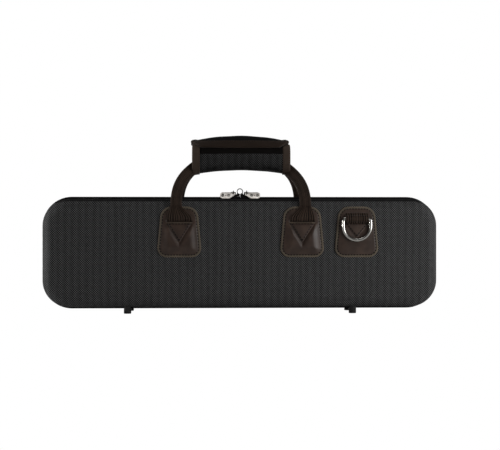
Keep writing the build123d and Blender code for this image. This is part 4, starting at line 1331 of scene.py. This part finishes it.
def apply_modifiers(piece):
    """Make the mesh what its modifiers show, and drop them."""
    graph = bpy.context.evaluated_depsgraph_get()
    mesh = bpy.data.meshes.new_from_object(piece.evaluated_get(graph))
    piece.modifiers.clear()
    old = piece.data
    piece.data = mesh
    bpy.data.meshes.remove(old)
    piece.data.shade_smooth()


def remesh(piece, voxel, smoothing):
    """Even out a mesh and round its edges."""
    grid = piece.modifiers.new("Even mesh", "REMESH")
    grid.mode = "VOXEL"
    grid.voxel_size = voxel
    soften = piece.modifiers.new("Soft edges", "SMOOTH")
    soften.factor = 0.5
    soften.iterations = smoothing
    apply_modifiers(piece)


def mesh_points(piece):
    """Vertices of a mesh as an array."""
    points = np.empty(len(piece.data.vertices) * 3)
    piece.data.vertices.foreach_get("co", points)
    return points.reshape(-1, 3)


PRESSURE = 4.0
STUFFING_FRAMES = 20


def stuff(piece, cap, held=()):
    """Swell a closed cloth from inside; held points stay sewn down and none moves further than cap."""
    start = mesh_points(piece)
    seams = piece.vertex_groups.new(name="Seams")
    seams.add([int(index) for index in held], 1.0, "REPLACE")
    cloth = piece.modifiers.new("Stuffing", "CLOTH")
    if len(held):
        cloth.settings.vertex_group_mass = "Seams"
    cloth.settings.quality = 5
    cloth.settings.mass = 0.3
    cloth.settings.use_pressure = True
    cloth.settings.uniform_pressure_force = PRESSURE
    cloth.settings.effector_weights.gravity = 0.0
    cloth.point_cache.frame_start = 1
    cloth.point_cache.frame_end = STUFFING_FRAMES
    for number in range(1, STUFFING_FRAMES + 1):
        bpy.context.scene.frame_set(number)
    apply_modifiers(piece)
    bpy.context.scene.frame_set(1)
    moved = mesh_points(piece) - start
    reach = np.linalg.norm(moved, axis=1, keepdims=True)
    moved *= np.minimum(1.0, cap / np.maximum(reach, 1e-9))
    piece.data.vertices.foreach_set("co", (start + moved).ravel())
    refine = piece.modifiers.new("Finer", "SUBSURF")
    refine.levels = refine.render_levels = 1
    apply_modifiers(piece)


def stuff_slab(piece, steps, cap):
    """Stuff a slab of the grip: its underside and the edges under its bindings stay sewn down."""
    rings, columns = steps
    number = np.arange(rings * columns * 2)
    ring, column = number // (2 * columns), number % (2 * columns)
    sewn = (column >= columns - 3) | (column < 3) | (ring < 6) | (ring >= rings - 6)
    stuff(piece, cap, number[sewn])


CUSHION_SHARE = (0.9885, 0.945, 0.966)      # of the pad's size before stuffing, so that it stays in place
TRAY_VOXEL = 2.2 * MM
GRIP_STUFFING = 0.6 * MM


def lid_cushion(settings):
    """Plush-covered foam pad of the lid, stuffed a little towards the flute."""
    piece = copy_of_node("lid_pad", "lid_cushion", "plush")
    low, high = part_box("lid_pad")
    middle = np.array((low + high) / 2)
    points = (mesh_points(piece) - middle) * np.array(CUSHION_SHARE) + middle
    piece.data.vertices.foreach_set("co", points.ravel())
    remesh(piece, settings.voxel, 4)
    stuff(piece, settings.swell)
    return piece


def plush_tray():
    """Flute tray covered in plush, with soft edges round its channels."""
    piece = copy_of_node("flute_tray", "plush_tray", "plush")
    remesh(piece, TRAY_VOXEL, 3)
    return piece


# ---- Operators ----
class FLUTECASE_OT_shells(bpy.types.Operator):
    """Dress the covers, boards, linings and piping of both shells"""

    bl_idname = "flutecase.shells"
    bl_label = "Shells"
    bl_options = {"REGISTER", "UNDO"}

    def execute(self, context):
        make_finishes(context.scene)
        for side, _, _ in SIDES:
            show_node(f"{side}_shell_cover", "cover_fabric")
            show_node(f"{side}_shell_core", "shell_board")
            show_node(f"{side}_lining", "plush")
            show_node(f"{side}_rim_piping", "piping_fabric")
            show_node(f"{side}_zip_tape", "zip_tape_fabric")
        return {"FINISHED"}


class FLUTECASE_OT_rim(bpy.types.Operator):
    """Sew the piping on, wind the zip's coils and weave the spine band"""

    bl_idname = "flutecase.rim"
    bl_label = "Rim and zip"
    bl_options = {"REGISTER", "UNDO"}

    def execute(self, context):
        scene = context.scene
        for side, body, place in SIDES:
            points, faces = seam_on_rim(scene.flute_case_cover)
            seam = add_object(f"{side}_rim_seam", place(points), faces, "seam_thread")
            settle(seam, body=body)
            points, faces = coil_of_zip(scene.flute_case_zip)
            coil = add_object(f"{side}_coil", place(points), faces, "zip_coil_nylon")
            settle(coil, [f"{side}_zip_coil"], body)
        settle(add_object("zip_guard", *zip_guard(), "zip_tape_fabric"), body="lid")
        spine = add_object("spine_band", *band_of_spine(), "zip_tape_fabric")
        settle(spine, ["spine_tape"])
        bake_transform(spine, "base", "lid", start=(0, 0.003, 0.0064), end=(0, -0.003, 0.0064))
        return {"FINISHED"}


class FLUTECASE_OT_feet(bpy.types.Operator):
    """Dress the moulded feet and their screws"""

    bl_idname = "flutecase.feet"
    bl_label = "Feet"
    bl_options = {"REGISTER", "UNDO"}

    def execute(self, context):
        for side, _, _ in SIDES:
            show_node(f"{side}_feet", "foot_plastic")
            show_node(f"{side}_foot_screws", "screw_steel")
        return {"FINISHED"}


class FLUTECASE_OT_inside(bpy.types.Operator):
    """Line the case: flute tray and lid cushion"""

    bl_idname = "flutecase.inside"
    bl_label = "Inside"
    bl_options = {"REGISTER", "UNDO"}

    def execute(self, context):
        settings = context.scene.flute_case_inside
        settle(plush_tray(), ["flute_tray"], "base", 0.8)
        settle(lid_cushion(settings), ["lid_pad"], "lid", settings.fill)
        return {"FINISHED"}


class FLUTECASE_OT_patches(bpy.types.Operator):
    """Cut, emboss and stitch the leather patches"""

    bl_idname = "flutecase.patches"
    bl_label = "Leather patches"
    bl_options = {"REGISTER", "UNDO"}

    def execute(self, context):
        settings = context.scene.flute_case_leather
        for side, body, place in SIDES:
            for name, x_middle, triangle_height, plump in PATCHES:
                patch_name = f"{side}_leather_{name}"
                patch = leather_patch(patch_name, x_middle, triangle_height, plump, place, settings)
                settle(patch, [f"{side}_{name}"], body)
                points, faces = patch_stitches(x_middle, triangle_height, plump, settings)
                stitches = add_object(f"{side}_stitches_{name}", place(points), faces, "leather_thread")
                settle(stitches, body=body)
        return {"FINISHED"}


class FLUTECASE_OT_webbing(bpy.types.Operator):
    """Weave the handle straps and the loops of the strap rings"""

    bl_idname = "flutecase.webbing"
    bl_label = "Webbing"
    bl_options = {"REGISTER", "UNDO"}

    def execute(self, context):
        settings = context.scene.flute_case_handle
        for side, body, place in SIDES:
            points, faces = whole_strap(settings)
            strap = add_object(f"{side}_webbing", place(points), faces, "webbing_cotton")
            darken_grooves(strap, len(points) // WEB_RING)
            nodes = [f"{side}_strap", f"{side}_webbing_root_left", f"{side}_webbing_root_right"]
            settle(strap, nodes)
            fold = place([(0.0, NECK[1], FOLD_LINE_Z)])[0]
            reach = np.array([0.0, 0.0, 3.5 * MM])
            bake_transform(strap, body, f"{side}_handle", start=tuple(fold - reach), end=tuple(fold + reach))
            points, faces = ring_loop_band(settings)
            loop = add_object(f"{side}_ring_band", place(points), faces, "webbing_cotton")
            darken_grooves(loop, len(points) // WEB_RING)
            settle(loop, [f"{side}_ring_loop"], body)
        return {"FINISHED"}


class FLUTECASE_OT_rings(bpy.types.Operator):
    """Chrome the strap rings"""

    bl_idname = "flutecase.rings"
    bl_label = "Strap rings"
    bl_options = {"REGISTER", "UNDO"}

    def execute(self, context):
        for side, _, _ in SIDES:
            show_node(f"{side}_d_ring", "ring_chrome")
        return {"FINISHED"}


# Each part of the grip: its name, its shape or row of stitches, finish, slot, body, and whether it is padded
GRIP_PARTS = (
    ("grip_rear_pad", "grip_pad", "grip_fabric", "grip_fabric", "rear_handle", True),
    ("padded_flap", "grip_flap", "flap_fabric", "grip_fabric", "flap", True),
    ("flap_edge_binding", "flap_binding", "flap_binding", "binding_cotton", "flap", False),
    ("flap_stitches", "flap", "binding_thread", "binding_cotton", "flap", False),
    ("rear_end_bindings", "end_binding_rear", "binding_cotton", "binding_cotton", "rear_handle", False),
    ("rear_end_stitches", "rear", "binding_thread", "binding_cotton", "rear_handle", False),
    ("grip_panel", "grip_front_panel", "grip_fabric", "grip_fabric", "rear_handle", True),
    ("panel_edge_binding", "panel_binding", "panel_binding", "binding_cotton", "rear_handle", False),
    ("front_end_bindings", "end_binding_front", "binding_cotton", "binding_cotton", "rear_handle", False),
    ("front_end_stitches", "front", "binding_thread", "binding_cotton", "rear_handle", False),
)


class FLUTECASE_OT_grip(bpy.types.Operator):
    """Pad, bind and stitch the grip, its front panel and its flap"""

    bl_idname = "flutecase.grip"
    bl_label = "Grip"
    bl_options = {"REGISTER", "UNDO"}

    def execute(self, context):
        settings = context.scene.flute_case_handle
        shapes = grip_pieces(settings)
        made = {}
        for name, shape, finish, slot, body, fill in GRIP_PARTS:
            if shape in shapes:
                node = "grip_end_bindings" if shape.startswith("end_binding") else shape
                piece = add_object(name, *shapes[shape], finish)
                settle(piece, [node], body, settings.fill if fill else None)
            else:
                piece = settle(add_object(name, *grip_stitches(shape), finish), body=body)
            made[name] = piece
        stuffed = (("grip_rear_pad", PAD_STEPS), ("grip_panel", PANEL_STEPS), ("padded_flap", FLAP_STEPS))
        for name, steps in stuffed:
            stuff_slab(made[name], steps, GRIP_STUFFING)
        for name in ("grip_panel", "panel_edge_binding", "front_end_bindings", "front_end_stitches"):
            piece = made[name]
            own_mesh(piece)
        return {"FINISHED"}


class FLUTECASE_OT_closing(bpy.types.Operator):
    """Dress the hook and loop strips of the grip"""

    bl_idname = "flutecase.closing"
    bl_label = "Hook and loop"
    bl_options = {"REGISTER", "UNDO"}

    def execute(self, context):
        show_node("panel_loop_strip", "hook_and_loop")
        show_node("flap_hook_strip", "hook_and_loop")
        return {"FINISHED"}


class FLUTECASE_OT_sliders(bpy.types.Operator):
    """Plate the zip's sliders, links and pulls"""

    bl_idname = "flutecase.sliders"
    bl_label = "Zip sliders"
    bl_options = {"REGISTER", "UNDO"}

    def execute(self, context):
        for hand in ("left", "right"):
            show_node(f"slider_{hand}", "slider_metal")
            show_node(f"pull_link_{hand}", "slider_metal")
            show_node(f"pull_tab_{hand}", "pull_nickel")
        for hand, way in (("left", -1), ("right", 1)):
            hood = add_object(f"slider_hood_{hand}", *slider_hood(way), "slider_metal")
            settle(hood, body=f"{hand}_slider")
            backs = add_object(f"pull_backs_{hand}", *tab_backs(way), "pull_back")
            settle(backs, body=f"{hand}_pull")
        return {"FINISHED"}


# Each light: its name, its place, the point it faces, its width and height, and its power
LIGHTS = (
    ("key_panel", (0.80, -0.62, 0.13), (0.12, 0, 0.09), (0.5, 0.5), 5.6),
    ("left_strip", (-1.0, -0.9, 0.15), (-0.05, 0, 0.09), (0.2, 0.6), 0.5),
    ("left_panel", (-1.3, 0.0, 0.12), (0, 0.0, 0.09), (0.2, 0.6), 15.0),
    ("right_panel", (1.35, 0.03, 0.12), (0, 0.02, 0.09), (0.3, 0.6), 5.0),
    ("back_panel", (-0.5, 1.7, 0.15), (0, 0, 0.09), (1.2, 0.6), 14.0),
    ("top_panel", (0, -0.25, 1.2), (0, 0, 0.1), (0.8, 0.25), 1.6),
)


class FLUTECASE_OT_stage(bpy.types.Operator):
    """Lay the floor, hang the lights and set up the camera"""

    bl_idname = "flutecase.stage"
    bl_label = "Floor, lights and camera"
    bl_options = {"REGISTER", "UNDO"}

    def execute(self, context):
        scene = context.scene
        settings = scene.flute_case_stage
        lay_floor(settings)
        light_sky(scene)
        for lamp in LIGHTS:
            soft_box(*lamp)
        place_camera(scene, settings)
        return {"FINISHED"}


def lay_floor(settings):
    """Plain pale floor that lights the case but isn't seen itself, since the open lid hangs below it."""
    half = settings.floor_size / 2
    tree, shader, bump = start_finish("floor")
    grain = noise(tree, object_point(tree), 14.0, 2.0)
    pale = settings.floor_colour
    mottled = blend_colours(tree, grain, [0.985 * channel for channel in pale], pale)
    give(tree, shader.inputs, Base_Color=mottled)
    give(tree, bump.inputs, Height=grain)
    set_plain(bump, Strength=0.01)
    set_plain(shader, Roughness=0.7, Specular_IOR_Level=0.2)
    output = tree.nodes["Material Output"]
    clear = put(tree, "ShaderNodeBsdfTransparent")
    seen = put(tree, "ShaderNodeLightPath").outputs["Is Camera Ray"]
    lit = put(tree, "ShaderNodeMixShader", {0: seen, 1: shader.outputs[0], 2: clear.outputs[0]})
    tree.links.new(lit.outputs[0], output.inputs["Surface"])
    corners = [(-half, -half, 0), (half, -half, 0), (half, half, 0), (-half, half, 0)]
    floor = add_object("floor", corners, [(0, 1, 2, 3)], "floor", smooth=False)


def light_sky(scene):
    """White surroundings that light the case only a little."""
    world = bpy.data.worlds.new("Studio")
    world.use_nodes = True
    scene.world = world
    tree = world.node_tree
    tree.nodes.clear()
    bright = put(tree, "ShaderNodeBackground", {"Color": (1, 1, 1, 1), "Strength": 1.0})
    dim = put(tree, "ShaderNodeBackground", {"Color": (1, 1, 1, 1), "Strength": 0.08})
    seen = put(tree, "ShaderNodeLightPath").outputs["Is Camera Ray"]
    mixed = put(tree, "ShaderNodeMixShader", {0: seen, 1: dim.outputs[0], 2: bright.outputs[0]})
    output = tree.nodes.new("ShaderNodeOutputWorld")
    tree.links.new(mixed.outputs[0], output.inputs["Surface"])


def soft_box(name, place, aim, size, power):
    """Rectangular soft light turned towards a point."""
    lamp = bpy.data.lights.new(name, "AREA")
    lamp.shape = "RECTANGLE"
    lamp.size, lamp.size_y = size
    lamp.energy = power
    holder = bpy.data.objects.new(name, lamp)
    holder.location = place
    holder.rotation_euler = (Vector(aim) - Vector(place)).to_track_quat("-Z", "Y").to_euler()
    bpy.context.scene.collection.objects.link(holder)


def place_camera(scene, settings):
    """Level camera in front of the case."""
    camera = bpy.data.cameras.new("camera")
    camera.lens = settings.focal_length
    camera.sensor_width = 36.0
    camera.clip_end = 100.0
    holder = bpy.data.objects.new("camera", camera)
    holder.location = settings.camera_place
    holder.rotation_euler = (math.pi / 2, 0.0, settings.camera_turn)
    scene.collection.objects.link(holder)
    scene.camera = holder
    scene.view_settings.view_transform = "Standard"


OPERATORS = (
    FLUTECASE_OT_shells,
    FLUTECASE_OT_rim,
    FLUTECASE_OT_feet,
    FLUTECASE_OT_inside,
    FLUTECASE_OT_patches,
    FLUTECASE_OT_webbing,
    FLUTECASE_OT_rings,
    FLUTECASE_OT_grip,
    FLUTECASE_OT_closing,
    FLUTECASE_OT_sliders,
    FLUTECASE_OT_stage,
)


class FLUTECASE_PT_panel(bpy.types.Panel):
    """Sidebar panel with the case's sizes, colours and pieces."""

    bl_idname = "FLUTECASE_PT_panel"
    bl_label = "Flute Case"
    bl_space_type = "VIEW_3D"
    bl_region_type = "UI"
    bl_category = "Flute Case"

    def draw(self, context):
        for name, group in SETTINGS.items():
            box = self.layout.box()
            box.label(text=group.__doc__)
            for key in group.__annotations__:
                box.prop(getattr(context.scene, name), key)
        for operator in OPERATORS:
            self.layout.operator(operator.bl_idname)


def register():
    """Register the settings, operators and panel."""
    for group in SETTINGS.values():
        bpy.utils.register_class(group)
    for name, group in SETTINGS.items():
        setattr(bpy.types.Scene, name, bpy.props.PointerProperty(type=group))
    for item in (*OPERATORS, FLUTECASE_PT_panel):
        bpy.utils.register_class(item)


def unregister():
    """Take the settings, operators and panel away again."""
    for item in reversed((*OPERATORS, FLUTECASE_PT_panel)):
        bpy.utils.unregister_class(item)
    for name in SETTINGS:
        delattr(bpy.types.Scene, name)
    for group in reversed(list(SETTINGS.values())):
        bpy.utils.unregister_class(group)


def main():
    """Build every piece in order."""
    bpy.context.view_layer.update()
    register()
    for operator in OPERATORS:
        family, action = operator.bl_idname.split(".")
        getattr(getattr(bpy.ops, family), action)()


if __name__ == "__main__":
    main()
